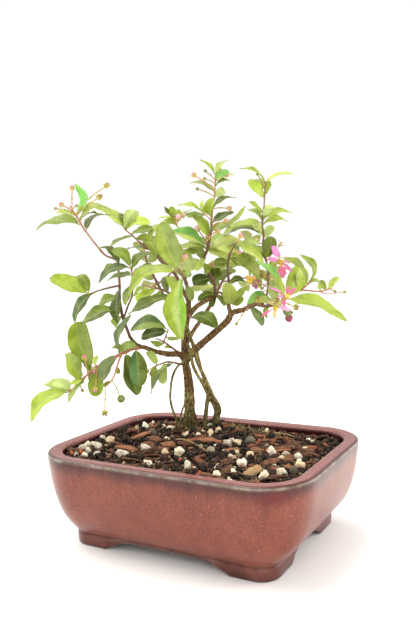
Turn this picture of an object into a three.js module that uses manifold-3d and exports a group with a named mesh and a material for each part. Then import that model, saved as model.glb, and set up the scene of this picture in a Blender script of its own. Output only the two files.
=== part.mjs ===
// Barbados cherry bonsai in its pot. Millimetres, +Z up, the pot's long side along X, feet on z = 0.
import * as THREE from "three";
import { mergeVertices } from "three/addons/utils/BufferGeometryUtils.js";
import Module from "manifold-3d";

const wasm = await Module();
wasm.setup();

// Pot: a rounded rectangle, glazed, with a flat lip and four corner feet
const POT = {
  halfLength: 100,
  halfWidth: 75,
  cornerRadius: 35.5,
  height: 65,
  lipWidth: 11,
  wall: 6,
  floorTop: 17,
  footHeight: 9.5,
  footInsetLong: 22,
  footInsetShort: 16,
  footWall: 9,
  footCornerRadius: 14,
  archHalfLong: 48,
  archHalfShort: 27,
  archRise: 7.5,
  archTaperLong: 22,
  archTaperShort: 14,
  drainRadius: 6,
  drainFromCentre: [38, 12],
};

// The wall from foot to lip, as [share of the foot's inset, height]
const OUTER_PROFILE = [
  [1.0, 9.5],
  [0.94, 11.5],
  [0.74, 15.5],
  [0.5, 22],
  [0.3, 31],
  [0.15, 42],
  [0.06, 55],
  [0.0, 62],
  [0.0, 64.2],
  [0.04, 65],
];
const INNER_PROFILE = [
  [0.85, 17],
  [0.45, 26],
  [0.2, 40],
];
const LIP_UNDERSIDE = 56;
const CORNER_STEPS = 5;

// Pieces that touch keep a gap. Joined solids lose edges and loose scraps below these sizes.
const GAP = 0.3;
const ROOT_CLEARANCE = 0.35;
const STALK_CLEARANCE = 0.4;
const SLIVER = 0.1;
const SCRAP_VOLUME = 0.5;

// Soil: a mound round the trunk with granules raised from it by a formula
const SOIL = {
  edgeLevel: 58.5,
  moundHeight: 5.2,
  moundReach: 42,
  tilt: [0.012, 0.01],
  grainHeight: 1.5,
  grainStep: 7.6,
  overlap: 4,
  low: 5,
};

// How many sides round parts have
const SIDES = { trunk: 10, limb: 5, twig: 4, stalk: 3, bloomStalk: 5, bud: 4, heart: 7 };

// The plant is laid out in its front view: across, up and toward the viewer, from the foot of the trunk.
// A point moved toward the viewer keeps its place in that view, so forms stay in the front outline.
const FRONT_AZIMUTH = 29.14;
const TRUNK_FOOT = [-32, 38];
const VIEWER = { across: 15.6, toward: 531.3, up: 198.1 };

// Leaves and buds
const BLADE_THICKNESS = 1.2;
const SMALL_LEAF = 22;
const FOLD = 0.22;
const EDGE_WAVE = 0.05;
const WAVES = 1.6;
const PETIOLE_RADIUS = 0.45;
const ON_STALK = {
  bud: { radius: 2.0, length: 4.6 },
  calyx: { radius: 1.9, length: 3.6 },
  fruit: { radius: 3.0, length: 6.0 },
};
const STALK_RADIUS = 0.45;
const HEART = { radius: 2.3, length: 4.6 };
const PETALS = 5;
const LEAF_GREENS = { bright: 0x9cc04a, mid: 0x7a9a3c, dark: 0x55762f };

// Wood: [radius at its start, radius at its end, points in the front view as [across, up, toward]].
const LIMBS = {
  trunk: [6.2, 1.7, [
    [-1.6, 48.8, 0], [-1, 64, 0], [-1.5, 73.7, 0], [-1.4, 85.7, 0], [-1.4, 97.6, 0.5],
    [-2.5, 108.8, 1], [-3.6, 116.8, 1], [-3.4, 132.5, 1], [-1.9, 145, 0], [0, 155.2, -1],
    [0.8, 163.7, -1], [0.7, 170.3, -1],
  ]],
  right_limb: [3, 1.8, [
    [-3.8, 116, 1.5], [4.4, 125.2, 6], [18, 136.5, 15], [30.9, 147.8, 22.5], [33.8, 152.8, 25.5],
    [38.9, 154.6, 27.8], [44.4, 155.5, 30],
  ]],
  right_fork: [1.9, 1.4, [[33.4, 152.8, 24.8], [32, 157.2, 21], [31.7, 159.9, 18.8]]],
  left_limb: [2.7, 1.4, [
    [-3.4, 116.7, 1.5], [-7.5, 122, 4.5], [-16.9, 122.8, 7.5], [-27.7, 125.5, 11.2],
    [-36.2, 129, 14.2], [-40.9, 128.3, 16],
  ]],
  left_rise_stub: [1.6, 1.3, [[-34.7, 128.1, 13.5], [-41.5, 131.5, 10.5], [-46.4, 137.6, 7.9]]],
  crown_limb: [2.2, 1.6, [
    [-0.6, 150.5, -1.5], [5.6, 158.1, -9], [14.3, 163.6, -21], [19.8, 165.8, -27.8], [22.5, 168, -31],
  ]],
  fork_twig: [1.2, 0.9, [[32.7, 154.8, 21], [28.4, 165.9, -3], [25, 169.5, -15], [19.1, 166.2, -25.5]]],
  upper_left_limb: [1.7, 1.1, [
    [0.8, 162.9, -1.5], [-4, 174, -10.5], [-9, 185, -19.5], [-16.4, 193.3, -27.6],
  ]],
  inner_left_limb: [1.6, 1.2, [[-0.4, 155.2, -1.5], [-2.9, 161.5, -10.5], [-8.2, 166, -21.6]]],
  back_right_limb: [1.9, 1.5, [
    [-2.9, 129.4, 0], [4.1, 140.9, -20.7], [13.2, 153.1, -39.1], [17.7, 160, -45.4],
  ]],
  back_left_limb: [1.9, 1.5, [
    [-2.9, 134.9, 0], [-6.5, 147.6, -20.7], [-13.1, 158, -36.8], [-15.7, 162, -42],
  ]],
  stub_left_upper: [1, 0.9, [[-4.4, 120.7, 2], [-6.7, 122.4, 6], [-8.5, 123.7, 7.6]]],
  stub_left_lower: [0.9, 0.8, [[-3.1, 114.4, 2], [-7, 114.5, 6], [-9.7, 115.1, 8.6]]],
  stub_right: [0.9, 0.8, [[-1.3, 152.9, 0], [-0.1, 152.2, 2], [1.1, 151.7, 3.7]]],
};
const ROOTS = {
  braid_a: [1.3, 1.7, [
    [-1.2, 144.2, 1], [2.9, 128.4, 5], [5.6, 116.4, 7], [9.9, 105.2, 8], [14.9, 91.5, 8],
    [19.8, 83.3, 6], [22, 76.9, 3], [20.2, 70.5, 0], [18.8, 56.1, -2],
  ]],
  braid_b: [1.2, 1.6, [
    [-1, 129.3, 5], [0.4, 124.5, 7], [3, 111, 9], [9.6, 98, 9], [14, 88.3, 7], [18.4, 78.6, 5],
    [18.9, 70.6, 3], [16.9, 56.2, 2],
  ]],
  braid_c: [1.1, 1.5, [
    [0.1, 137.1, 0], [5.9, 123.5, 4], [8.5, 110.8, 6], [13.6, 97.9, 8], [17.2, 88.2, 8],
    [20.4, 78.5, 5], [17.7, 70.6, -2], [19.2, 56.1, -5],
  ]],
  leg: [1.5, 2, [[13.4, 93.1, 8], [12.7, 85.2, 7], [11.2, 75.6, 6], [10.1, 66.1, 6], [9.6, 53.2, 6]]],
  left_root: [0.9, 1.1, [
    [-4.6, 116, 4], [-9.4, 113, 7], [-13.6, 106, 8], [-16, 94.2, 8], [-16.4, 86.2, 8],
    [-14.9, 78.2, 8], [-11.9, 68.5, 8], [-9.3, 53.9, 8],
  ]],
  root_d: [0.7, 0.9, [
    [-2.5, 88.9, 3], [-5.1, 83.4, 6], [-8.6, 73.9, 7], [-9.6, 67.6, 8], [-10.9, 53.9, 9],
  ]],
  root_e: [0.7, 0.9, [[-2.9, 77.7, 3], [-5.4, 73, 7], [-6.6, 62.6, 8], [-7.1, 49.8, 9]]],
};

// Sprays. A twig is a row like a limb, and its first one starts where another branch ends.
// A leaf is [twig, share along it, heading, lean, length, width, face, arch].
// A bud is [twig, share along it, heading, lean, reach, kind].
const SPRAYS = {
  left_rise: {
    from: "left_rise_stub",
    green: "bright",
    twigs: [
      [1.3, 0.9, [[-51.1, 153.8, 0], [-52.5, 166.4, -7.5], [-52.2, 178.8, -12]]],
      [0.8, 0.5, [[-52.3, 177.6, -10.5], [-61.4, 176, 0], [-66.9, 174.7, 6], [-76.3, 171.9, 15]]],
      [0.9, 0.5, [
        [-50.4, 151.5, 1.5], [-46.5, 161.5, -1.5], [-43.3, 168.4, -3], [-41.8, 180, 3],
        [-42.8, 191.6, 9],
      ]],
    ],
    leaves: [
      [1, 1, 154, 12.5, 31, 15, 0.8, 0.08],
      [1, 1, 126, -25, 20, 10, 0.8, 0.24],
      [1, 0.82, -128, 2.5, 28, 14, 0.6, 0.14],
      [0, 0.52, -160, 15, 35, 17, 0.5, 0.14],
      [0, 0.93, -93, 37.5, 33, 16, 0.5, 0.01],
      [0, 0.75, -162, -25, 22, 11, 0.7, 0.13],
      [2, 1, 133, -6.25, 20, 10, 0.8, 0.23],
      [2, 0.99, -159, 18.75, 27, 13, 0.5, 0.18],
      [2, 0.94, 39, -17.5, 22, 11, 0.6, 0.18],
      [2, 0.83, 34, -37.5, 21, 10, 0.6, -0.01],
      [2, 0.85, -170, -31.25, 26, 12, 0.3, 0.07],
      [2, 0.69, -111, 25, 19, 9, 0.7, 0.1],
    ],
    buds: [
    ],
  },
  far_left: {
    from: "left_rise.0",
    green: "bright",
    twigs: [
      [1, 0.5, [
        [-52.6, 189.7, -13.5], [-53.4, 196.7, -15], [-62.5, 201.6, -12], [-68.3, 208.7, -9],
        [-77.7, 222.1, -4.5], [-81.9, 229.9, -1.5], [-87.6, 240, 3],
      ]],
    ],
    leaves: [
      [0, 0.78, -178, -15, 39, 19, 0.4, 0.15],
      [0, 0.89, 85, 12.5, 24, 12, 0.7, -0.3],
      [0, 0.82, 20, -12.5, 26, 12, 0.5, 0.31],
      [0, 0.71, 35, -37.5, 27, 13, 0.4, 0.2],
      [0, 0.83, 25, -43.75, 20, 9, 0.3, 0.15],
      [0, 0.49, -40, 25, 25, 12, 0.4, 0.24],
    ],
    buds: [
      [0, 0.96, 85, 10, 17, "bud"],
      [0, 0.92, 165, 0, 15, "bud"],
      [0, 0.71, 66, -20, 41, "calyx"],
      [0, 0.67, 69, 10, 30, "calyx"],
    ],
  },
  low_left: {
    from: "left_limb",
    green: "mid",
    twigs: [
      [1.1, 0.6, [
        [-47.2, 126.6, 19.5], [-58.4, 121.9, 25.5], [-68.1, 116.7, 30], [-73.6, 114.5, 31.5],
        [-81.8, 107.6, 33], [-90.9, 99.2, 36], [-95.8, 95.8, 37.5],
      ]],
      [0.8, 0.5, [
        [-52.8, 124.4, 22.5], [-56.3, 117, 27], [-59, 108.8, 30], [-61.6, 103.8, 31.5],
        [-66.5, 99.2, 33],
      ]],
    ],
    leaves: [
      [0, 0.17, -76, 27.5, 39, 18, 0.7, 0.03],
      [0, 0.03, -86, -18.75, 29, 14, 1, 0.1],
      [0, 0.26, -126, 37.5, 27, 13, -0.7, 0.09],
      [0, 0.55, -93, 25, 23, 12, 1, -0.06],
      [0, 0.62, 105, 3.75, 37, 18, 0.9, -0.29],
      [0, 0.79, 109, 37.5, 29, 14, 0.6, -0.02],
      [0, 1, -145, 10, 35, 17, 0.6, 0.2],
      [0, 0.96, 175, -35, 31, 15, 0.4, 0.05],
      [0, 0.75, -126, 37.5, 24, 12, 0.4, 0.01],
      [0, 0.62, -95, -37.5, 28, 14, 0.4, 0.1],
      [0, 0.25, 72, 18.75, 34, 16, 0.4, 0.14],
      [0, 0, -176, 32.5, 17, 8, 0.7, 0.34],
    ],
    buds: [
      [0, 0.76, 123, -10, 21, "bud"],
      [0, 0.71, 93, 20, 15, "bud"],
      [0, 0.55, -95, 30, 19, "bud"],
      [1, 0.78, -65, 10, 16, "fruit"],
      [1, 1, -93, 15, 20, "calyx"],
    ],
  },
  trunk_left_upper: {
    from: "stub_left_upper",
    green: "mid",
    twigs: [
      [0.9, 0.5, [[-14.3, 128.2, 15.6], [-19.6, 132.3, 20.8], [-25.8, 135.3, 26]]],
      [0.6, 0.4, [[-20, 132.6, 21.4], [-17.5, 137.7, 24.7], [-15.7, 142, 26]]],
    ],
    leaves: [
      [1, 0.97, 178, 6.25, 28, 13, 0.7, 0.34],
      [1, 0.85, -170, -15, 22, 11, 0.6, 0.02],
    ],
    buds: [
    ],
  },
  trunk_left_lower: {
    from: "stub_left_lower",
    green: "mid",
    twigs: [
      [0.8, 0.5, [[-17.9, 116.5, 16.9], [-22.7, 115.1, 19.5], [-27.4, 113.6, 22.1]]],
    ],
    leaves: [
      [0, 0.27, -130, 18.75, 29, 14, 0.3, 0.13],
      [0, 0.64, -100, -6.25, 17, 8, 0.9, 0],
    ],
    buds: [
    ],
  },
  inner_left: {
    from: "inner_left_limb",
    green: "dark",
    twigs: [
      [1.1, 0.5, [[-18.8, 173, -33], [-28.8, 175.6, -42], [-34.9, 178.2, -48]]],
    ],
    leaves: [
      [0, 0.17, -161, 25, 40, 19, 0.4, 0.03],
      [0, 0.62, -155, -6.25, 20, 10, 0.8, -0.08],
      [0, 0.9, -142, -25, 18, 8, 0.5, 0.06],
      [0, 0.12, 112, -31.25, 21, 10, 0.6, 0.2],
      [0, 0.24, 116, -40, 18, 9, -0.7, -0.08],
    ],
    buds: [
    ],
  },
  upper_left: {
    from: "upper_left_limb",
    green: "mid",
    twigs: [
      [1, 0.5, [[-24.6, 201.8, -39], [-34.3, 209.5, -45], [-39.5, 214.6, -46.5], [-45.7, 220.2, -48]]],
    ],
    leaves: [
      [0, 1, 142, 25, 35, 17, 0.4, 0.11],
      [0, 1, 128, -18.75, 24, 12, 0.3, 0.2],
      [0, 1, 60, -12.5, 19, 12, 1, 0.33],
      [0, 1, 14, 18.75, 23, 11, 0.7, 0.21],
      [0, 0.89, 12, -10, 24, 11, 0.6, 0.06],
      [0, 0.79, -16, -31.25, 23, 11, 0.7, 0.12],
      [0, 0.85, -157, 25, 23, 11, 0.3, 0.05],
      [0, 0.44, 173, -37.5, 28, 13, 0.3, 0.09],
      [0, 0.37, -44, -18.75, 18, 9, 0.8, 0.03],
      [0, 0.5, 49, -25, 31, 15, 0.4, 0.22],
      [0, 0.37, 53, -35, 24, 12, -0.6, 0.12],
    ],
    buds: [
    ],
  },
  crown_front: {
    from: "trunk",
    green: "bright",
    twigs: [
      [1.5, 0.7, [[-1, 179.3, 10.5], [-3.6, 184.1, 19.5], [-6.5, 188.8, 27]]],
    ],
    leaves: [
      [0, 0.92, 109, 15, 38, 18, 0.9, 0.01],
      [0, 0.71, -92, 17.5, 49, 23, 0.7, 0.16],
      [0, 0.97, -150, -2.5, 47, 23, 0.4, 0.23],
    ],
    buds: [
      [0, 0.86, 67, 20, 13, "bud"],
    ],
  },
  inner_right: {
    from: "crown_limb",
    green: "dark",
    twigs: [
      [1.5, 0.9, [
        [21, 177, -33], [15.9, 187.3, -28.5], [13, 192.8, -24], [14.8, 198.9, -19.5],
        [16.9, 203.1, -16.5],
      ]],
    ],
    leaves: [
      [0, 0.92, 179, 10, 24, 12, 0.4, 0.03],
      [0, 0.71, -172, 25, 21, 10, 1, 0.14],
      [0, 0.87, 152, -25, 24, 12, 0.6, 0.12],
      [0, 0.18, -178, 18.75, 23, 11, -0.5, -0.11],
      [0, 0.73, 113, -40, 24, 12, 0.6, 0.02],
      [0, 0.24, 28, -37.5, 27, 13, 0.6, 0.08],
      [0, 0.6, 4, -25, 34, 17, 0.3, -0.05],
    ],
    buds: [
    ],
  },
  top: {
    from: "inner_right.0",
    green: "bright",
    twigs: [
      [0.9, 0.45, [
        [20.1, 217.9, -12], [20.8, 226.3, -9], [21.9, 236.2, -6], [23.8, 244.5, -4.5],
        [24.3, 251.3, -1.5], [25, 259.7, 1.5],
      ]],
      [0.5, 0.4, [[20.7, 224.8, -9], [16.6, 229.5, 0], [12.9, 232.7, 7.5]]],
      [0.6, 0.4, [
        [17.8, 207.3, -14.7], [8.2, 209.9, -24], [-0.8, 216.4, -30], [-6.7, 223.5, -31.5],
        [-9.1, 231.2, -31.5],
      ]],
    ],
    leaves: [
      [0, 1, 135, 18.75, 17, 8, 0.4, 0.1],
      [0, 0.92, 21, -18.75, 17, 8, 0.4, 0.07],
      [0, 0.78, 157, -12.5, 22, 10, 0.4, 0.11],
      [0, 0.56, 26, -6.25, 21, 10, 0.4, 0.16],
      [0, 0.44, 84, 37.5, 18, 9, 0.7, 0.2],
      [1, 0.65, 159, 12.5, 22, 11, 0.3, 0.12],
      [0, 0.14, 124, 27.5, 27, 13, 0.6, 0.1],
      [1, 0.61, 171, -31.25, 19, 9, 0.6, -0.08],
      [0, 0.37, 27, -18.75, 21, 10, 0.6, 0.06],
      [0, 0.28, 35, 6.25, 33, 16, 0.3, -0.16],
      [0, 0.25, 15, -35, 21, 10, 0.6, 0.1],
      [0, 0, 13, 17.5, 31, 15, 0.5, 0.11],
      [0, 0, 155, 25, 38, 18, 0.5, 0.15],
      [0, 0, -21, 27.5, 30, 15, 0.8, 0.15],
      [0, 0.05, -21, -17.5, 38, 18, 0.3, -0.08],
      [0, 0.06, 144, -31.25, 21, 10, 0.5, 0.02],
      [0, 0.03, 178, -2.5, 22, 10, 0.5, 0.1],
      [2, 0.85, 38, -6.25, 17, 8, 0.3, 0.08],
    ],
    buds: [
      [0, 0.79, 141, 5, 21, "bud"],
      [0, 0.72, 156, 15, 15, "bud"],
      [0, 0.56, 0, 0, 14, "bud"],
      [0, 0.33, 16, 25, 14, "bud"],
      [0, 0.06, 121, 15, 17, "bud"],
    ],
  },
  trunk_right: {
    from: "stub_right",
    green: "dark",
    twigs: [
      [0.8, 0.6, [[4.5, 150.3, 12], [6, 149.5, 16.5]]],
    ],
    leaves: [
      [0, 0.34, -20, 40, 26, 13, 0.7, 0.19],
    ],
    buds: [
    ],
  },
  upper_right: {
    from: "right_fork",
    green: "dark",
    twigs: [
      [1.3, 0.6, [
        [32.1, 169.6, 13.5], [32.4, 178.2, 7.5], [31.9, 189, 3], [34.1, 199, 6], [39, 207.3, 12],
      ]],
    ],
    leaves: [
      [0, 0.98, -38, 18.75, 28, 14, 0.5, 0.08],
      [0, 0.8, -13, 6.25, 17, 8, 0.8, -0.11],
      [0, 0.73, -43, 7.5, 33, 16, 0.6, 0.21],
      [0, 0.01, 95, 37.5, 21, 11, 1, 0.16],
      [0, 0.11, 32, 12.5, 17, 8, 0.6, -0.17],
      [0, 0.76, -13, 37.5, 20, 10, 0.7, -0.17],
    ],
    buds: [
    ],
  },
  right_arm: {
    from: "right_limb",
    green: "mid",
    twigs: [
      [1.6, 1, [[52.3, 159.2, 33], [59.7, 157.7, 37.5], [71.8, 158.9, 36]]],
      [1, 0.7, [
        [57.7, 158.1, 36.8], [61, 164.7, 27], [62.8, 171.7, 15], [63.1, 184.1, -3], [62, 193, -10.5],
      ]],
    ],
    leaves: [
      [0, 0.16, -57, 27.5, 18, 8, 0.8, 0.19],
      [1, 0.62, 134, -45, 21, 10, 0.6, 0],
      [1, 0.71, 24, -35, 17, 8, -0.7, 0.02],
    ],
    buds: [
      [0, 0.17, -132, 30, 18, "bud"],
      [0, 0.92, -50, -28, 17, "fruit"],
    ],
  },
  top_right: {
    from: "right_arm.1",
    green: "bright",
    twigs: [
      [0.8, 0.45, [
        [59.8, 202.7, -16.5], [60.5, 213.5, -22.5], [59.8, 221.1, -22.5], [61.5, 234.8, -22.5],
        [62, 241.7, -21], [63.5, 253, -18],
      ]],
    ],
    leaves: [
      [0, 1, 152, 12.5, 24, 11, 0.3, 0.15],
      [0, 1, 15, 12.5, 22, 11, 0.3, 0.11],
      [0, 0.81, 133, 25, 20, 9, 0.9, 0.03],
      [0, 0.9, 140, -37.5, 19, 9, 0.6, 0.19],
      [0, 0.55, 13, 18.75, 25, 12, 0.4, 0.14],
      [0, 0.49, 7, -12.5, 22, 11, 0.5, 0.21],
      [0, 0.52, -163, -10, 38, 18, 0.3, 0.12],
      [0, 0.39, -173, -25, 38, 18, 0.3, 0.19],
      [0, 0.25, -178, 0, 24, 11, 0.5, 0.05],
      [0, 0.04, 73, 10, 18, 11, 1, 0.12],
      [0, 0.05, 154, -15, 20, 9, 0.7, 0.02],
    ],
    buds: [
      [0, 0.9, 112, -10, 15, "bud"],
    ],
  },
  far_right: {
    from: "right_arm.0",
    green: "mid",
    twigs: [
      [1, 0.5, [
        [77.4, 164.1, 31.5], [82.9, 167.8, 27], [89.9, 168.8, 22.5], [103.9, 167.6, 15],
        [112.1, 169.9, 9],
      ]],
      [0.6, 0.4, [[87.6, 168.5, 24], [93.1, 172.9, 33], [97.1, 177.4, 39]]],
      [0.5, 0.4, [[102.3, 167.7, 16.5], [109.3, 165.4, 9], [118.6, 166.2, 0]]],
    ],
    leaves: [
      [0, 0.08, 121, -15, 37, 18, 0.4, 0.14],
      [0, 0.17, 58, -31.25, 31, 15, 1, -0.03],
      [1, 0.78, 107, 12.5, 22, 10, 0.6, 0.31],
      [1, 0.65, 133, 6.25, 29, 14, 0.4, 0.17],
      [0, 0.14, -22, 15, 47, 22, 0.4, 0.08],
      [0, 0.36, 86, -47.5, 26, 12, 0.5, 0.06],
    ],
    buds: [
      [0, 0.04, -58, -5, 9, "fruit"],
      [0, 0.04, -19, 15, 12, "calyx"],
    ],
  },
  back_right: {
    from: "back_right_limb",
    green: "dark",
    twigs: [
      [1.4, 0.6, [
        [23.9, 171.5, -52.9], [30.5, 182.9, -59.8], [40.2, 195.7, -66.7], [49.8, 204.6, -71.3],
      ]],
      [0.8, 0.5, [[27.2, 177.6, -56.3], [44.4, 180.1, -66.7], [58.4, 181.1, -71.3]]],
    ],
    leaves: [
      [0, 0.11, 135, -45, 23, 11, -0.8, 0.12],
      [0, 0.28, 131, -32.5, 22, 11, -0.8, 0.1],
      [0, 0.47, 135, -50, 26, 12, -0.7, 0.1],
      [0, 0.58, 112, -38.75, 24, 12, -0.7, 0.1],
      [0, 0.76, 112, -45, 24, 12, -0.7, 0.1],
      [0, 0.8, -21, -50, 26, 12, -0.6, 0.1],
      [0, 0.92, -8, -32.5, 21, 10, -0.8, 0.1],
      [0, 1, 38, -38.75, 17, 8, -0.9, 0.1],
      [0, 0.98, 108, -50, 24, 12, -0.5, 0.1],
      [1, 0.36, -43, -45, 23, 11, -0.6, 0.1],
      [1, 0.61, -34, -32.5, 20, 10, -0.8, 0.1],
      [1, 0.71, 50, -50, 26, 13, -0.6, 0.1],
      [1, 0.98, 14, -38.75, 24, 12, -0.7, 0.1],
      [1, 1, -47, -50, 27, 13, -0.6, 0.1],
    ],
    buds: [
    ],
  },
  back_left: {
    from: "back_left_limb",
    green: "dark",
    twigs: [
      [1.4, 0.6, [
        [-20.3, 173, -50.6], [-26, 184.9, -57.5], [-30.3, 195.1, -63.2], [-32.2, 204.4, -66.7],
      ]],
      [0.8, 0.5, [[-22.5, 177.8, -52.9], [-11.2, 186.7, -64.4], [-4.7, 194.2, -71.3]]],
    ],
    leaves: [
      [0, 0.14, -168, -38.75, 18, 8, -0.9, 0.12],
      [0, 0.38, -163, -50, 25, 12, -0.6, 0.1],
      [0, 0.51, 163, -38.75, 20, 10, -0.9, 0.1],
      [0, 0.72, 139, -50, 26, 12, -0.6, 0.1],
      [0, 0.8, 35, -32.5, 17, 8, -0.9, 0.1],
      [0, 0.93, 138, -45, 21, 10, -0.7, 0.1],
      [0, 1, 58, -38.75, 18, 9, -0.8, 0.1],
      [1, 0.43, -64, -45, 20, 10, -0.8, 0.1],
      [1, 0.69, -23, -32.5, 18, 9, -0.9, 0.1],
      [1, 0.93, 28, -45, 19, 9, -0.9, 0.1],
      [1, 1, 101, -38.75, 21, 10, -0.8, 0.1],
      [1, 0.77, 135, -50, 19, 9, -0.8, 0.1],
    ],
    buds: [
    ],
  },
};

// Blooms: the spray and place they grow from, the heart, the way they face, petal length and turn.
const BLOOMS = {
  upper: { from: "right_arm", at: [1, 0.7], centre: [73.5, 193.4, 26],
    facing: [-20, 72], size: 9.5, turn: 90 },
  middle: { from: "right_arm", at: [0, 0.95], centre: [72.7, 166.3, 58],
    facing: [40, 62], size: 9.5, turn: 20 },
  lower: { from: "right_arm", at: [0, 0.8], centre: [67.8, 154.7, 52],
    facing: [-120, 50], size: 9, turn: 50 },
  inner: { from: "right_arm", at: [1, 0.45], centre: [50.9, 177.5, 26],
    facing: [150, 55], size: 8, turn: 0 },
};

const azimuth = THREE.MathUtils.degToRad(FRONT_AZIMUTH);
const ACROSS = new THREE.Vector3(Math.cos(azimuth), Math.sin(azimuth), 0);
const TOWARD = new THREE.Vector3(Math.sin(azimuth), -Math.cos(azimuth), 0);
const UP = new THREE.Vector3(0, 0, 1);
const viewer = treePoint(VIEWER.across, VIEWER.up, VIEWER.toward);

// A point of the tree from plain offsets along its three directions.
function treePoint(across, up, toward) {
  return new THREE.Vector3(TRUNK_FOOT[0], TRUNK_FOOT[1], up)
    .addScaledVector(ACROSS, across)
    .addScaledVector(TOWARD, toward);
}

// A point seen at (across, up) in the front view and moved toward the viewer along the line of sight.
function place([across, up, toward]) {
  return treePoint(across, up, 0).lerp(viewer, toward / VIEWER.toward);
}

// A closed solid from vertices and triangles.
function solid(points, triangles) {
  const positions = new Float32Array(points.flatMap((p) => [p.x, p.y, p.z]));
  return new wasm.Manifold(
    new wasm.Mesh({ numProp: 3, vertProperties: positions, triVerts: new Uint32Array(triangles.flat()) }),
  );
}

// Joins solids, and drops the slivers and loose scraps that crossings leave.
function union(solids) {
  const joined = wasm.Manifold.union(solids).simplify(SLIVER);
  const kept = joined.decompose().filter((body) => body.volume() > SCRAP_VOLUME);
  return kept.length === 1 ? kept[0] : joined;
}

// Triangles that join two rings of vertices, each given by its first index.
function band(lower, upper, count) {
  const triangles = [];
  for (let i = 0; i < count; i++) {
    const next = (i + 1) % count;
    triangles.push([lower + i, lower + next, upper + next], [lower + i, upper + next, upper + i]);
  }
  return triangles;
}

// A tapered tube through points, each ring square to the path, with flat ends.
function tube(path, radii, sides, { startDirection, flute = 0 } = {}) {
  const points = [];
  const triangles = [];
  let side = null;
  path.forEach((centre, i) => {
    const before = path[Math.max(i - 1, 0)];
    const after = path[Math.min(i + 1, path.length - 1)];
    const direction = after.clone().sub(before).normalize();
    if (i === 0 && startDirection) direction.copy(startDirection);
    if (!side) side = Math.abs(direction.z) < 0.9 ? UP.clone() : ACROSS.clone();
    side.addScaledVector(direction, -side.dot(direction)).normalize();
    const other = direction.clone().cross(side);
    for (let k = 0; k < sides; k++) {
      const angle = (2 * Math.PI * k) / sides;
      const ridges = Math.sin(3 * angle + 0.35 * i) + Math.sin(5 * angle - 0.2 * i);
      const radius = radii[i] * (1 + flute * ridges);
      const outward = side.clone().multiplyScalar(Math.cos(angle)).addScaledVector(other, Math.sin(angle));
      points.push(centre.clone().addScaledVector(outward, radius));
    }
    if (i > 0) triangles.push(...band((i - 1) * sides, i * sides, sides));
  });
  const last = (path.length - 1) * sides;
  for (let k = 1; k < sides - 1; k++) triangles.push([0, k + 1, k], [last, last + k, last + k + 1]);
  return solid(points, triangles);
}

// Points along a smooth curve through the rows of a branch, with radii that taper from first to last.
function smoothBranch([firstRadius, lastRadius, rows], perRow, taperPower = 1) {
  const curve = new THREE.CatmullRomCurve3(rows.map(place), false, "centripetal");
  const steps = (rows.length - 1) * perRow;
  const path = curve.getPoints(steps);
  const radii = path.map((_, i) => THREE.MathUtils.lerp(firstRadius, lastRadius, (i / steps) ** taperPower));
  return { path, radii };
}

// Where a branch ends, and which way it points there.
function endOf(path) {
  const tip = path[path.length - 1];
  return { tip, direction: tip.clone().sub(path[path.length - 2]).normalize() };
}

// A point part of the way along a path, with the path's direction and radius there.
function along(path, radii, share) {
  const lengths = path.slice(1).map((p, i) => p.distanceTo(path[i]));
  let left = share * lengths.reduce((a, b) => a + b, 0);
  let i = 0;
  while (i < lengths.length - 1 && left > lengths[i]) left -= lengths[i++];
  const t = Math.min(left / lengths[i], 1);
  return {
    point: path[i].clone().lerp(path[i + 1], t),
    direction: path[i + 1].clone().sub(path[i]).normalize(),
    radius: THREE.MathUtils.lerp(radii[i], radii[i + 1], t),
  };
}

// The axis of something that heads one way in the front view and leans toward the viewer.
function aim(heading, lean) {
  const h = THREE.MathUtils.degToRad(heading);
  const l = THREE.MathUtils.degToRad(lean);
  return new THREE.Vector3()
    .addScaledVector(ACROSS, Math.cos(h) * Math.cos(l))
    .addScaledVector(UP, Math.sin(h) * Math.cos(l))
    .addScaledVector(TOWARD, Math.sin(l));
}

// The way a blade's upper side faces: face is how much of it turns to the viewer, below 0 for the underside.
function bladeNormal(axis, face) {
  const seen = TOWARD.clone().addScaledVector(axis, -TOWARD.dot(axis)).normalize();
  const across = axis.clone().cross(seen);
  if (across.z < 0) across.negate();
  const share = Math.min(Math.abs(face), 0.98);
  return seen.multiplyScalar(Math.sign(face) * share).addScaledVector(across, Math.sqrt(1 - share * share));
}

// Half widths of an elliptic leaf and of a clawed petal, from foot to tip.
const leafOutline = (s) => (s < 0.11 ? 0.08 : Math.sin(Math.PI * ((s - 0.06) / 0.94) ** 0.95) ** 0.6);
const petalLimb = (s) => Math.sin(Math.PI * (0.12 + 0.8 * s ** 0.8)) ** 0.6;
const petalOutline = (s) => (s < 0.4 ? 0.12 : petalLimb((s - 0.4) / 0.6));
const LEAF_STATIONS = [0, 0.09, 0.3, 0.56, 0.82];
const SMALL_LEAF_STATIONS = [0, 0.1, 0.38, 0.75];
const PETAL_STATIONS = [0, 0.38, 0.62, 0.92];

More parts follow.
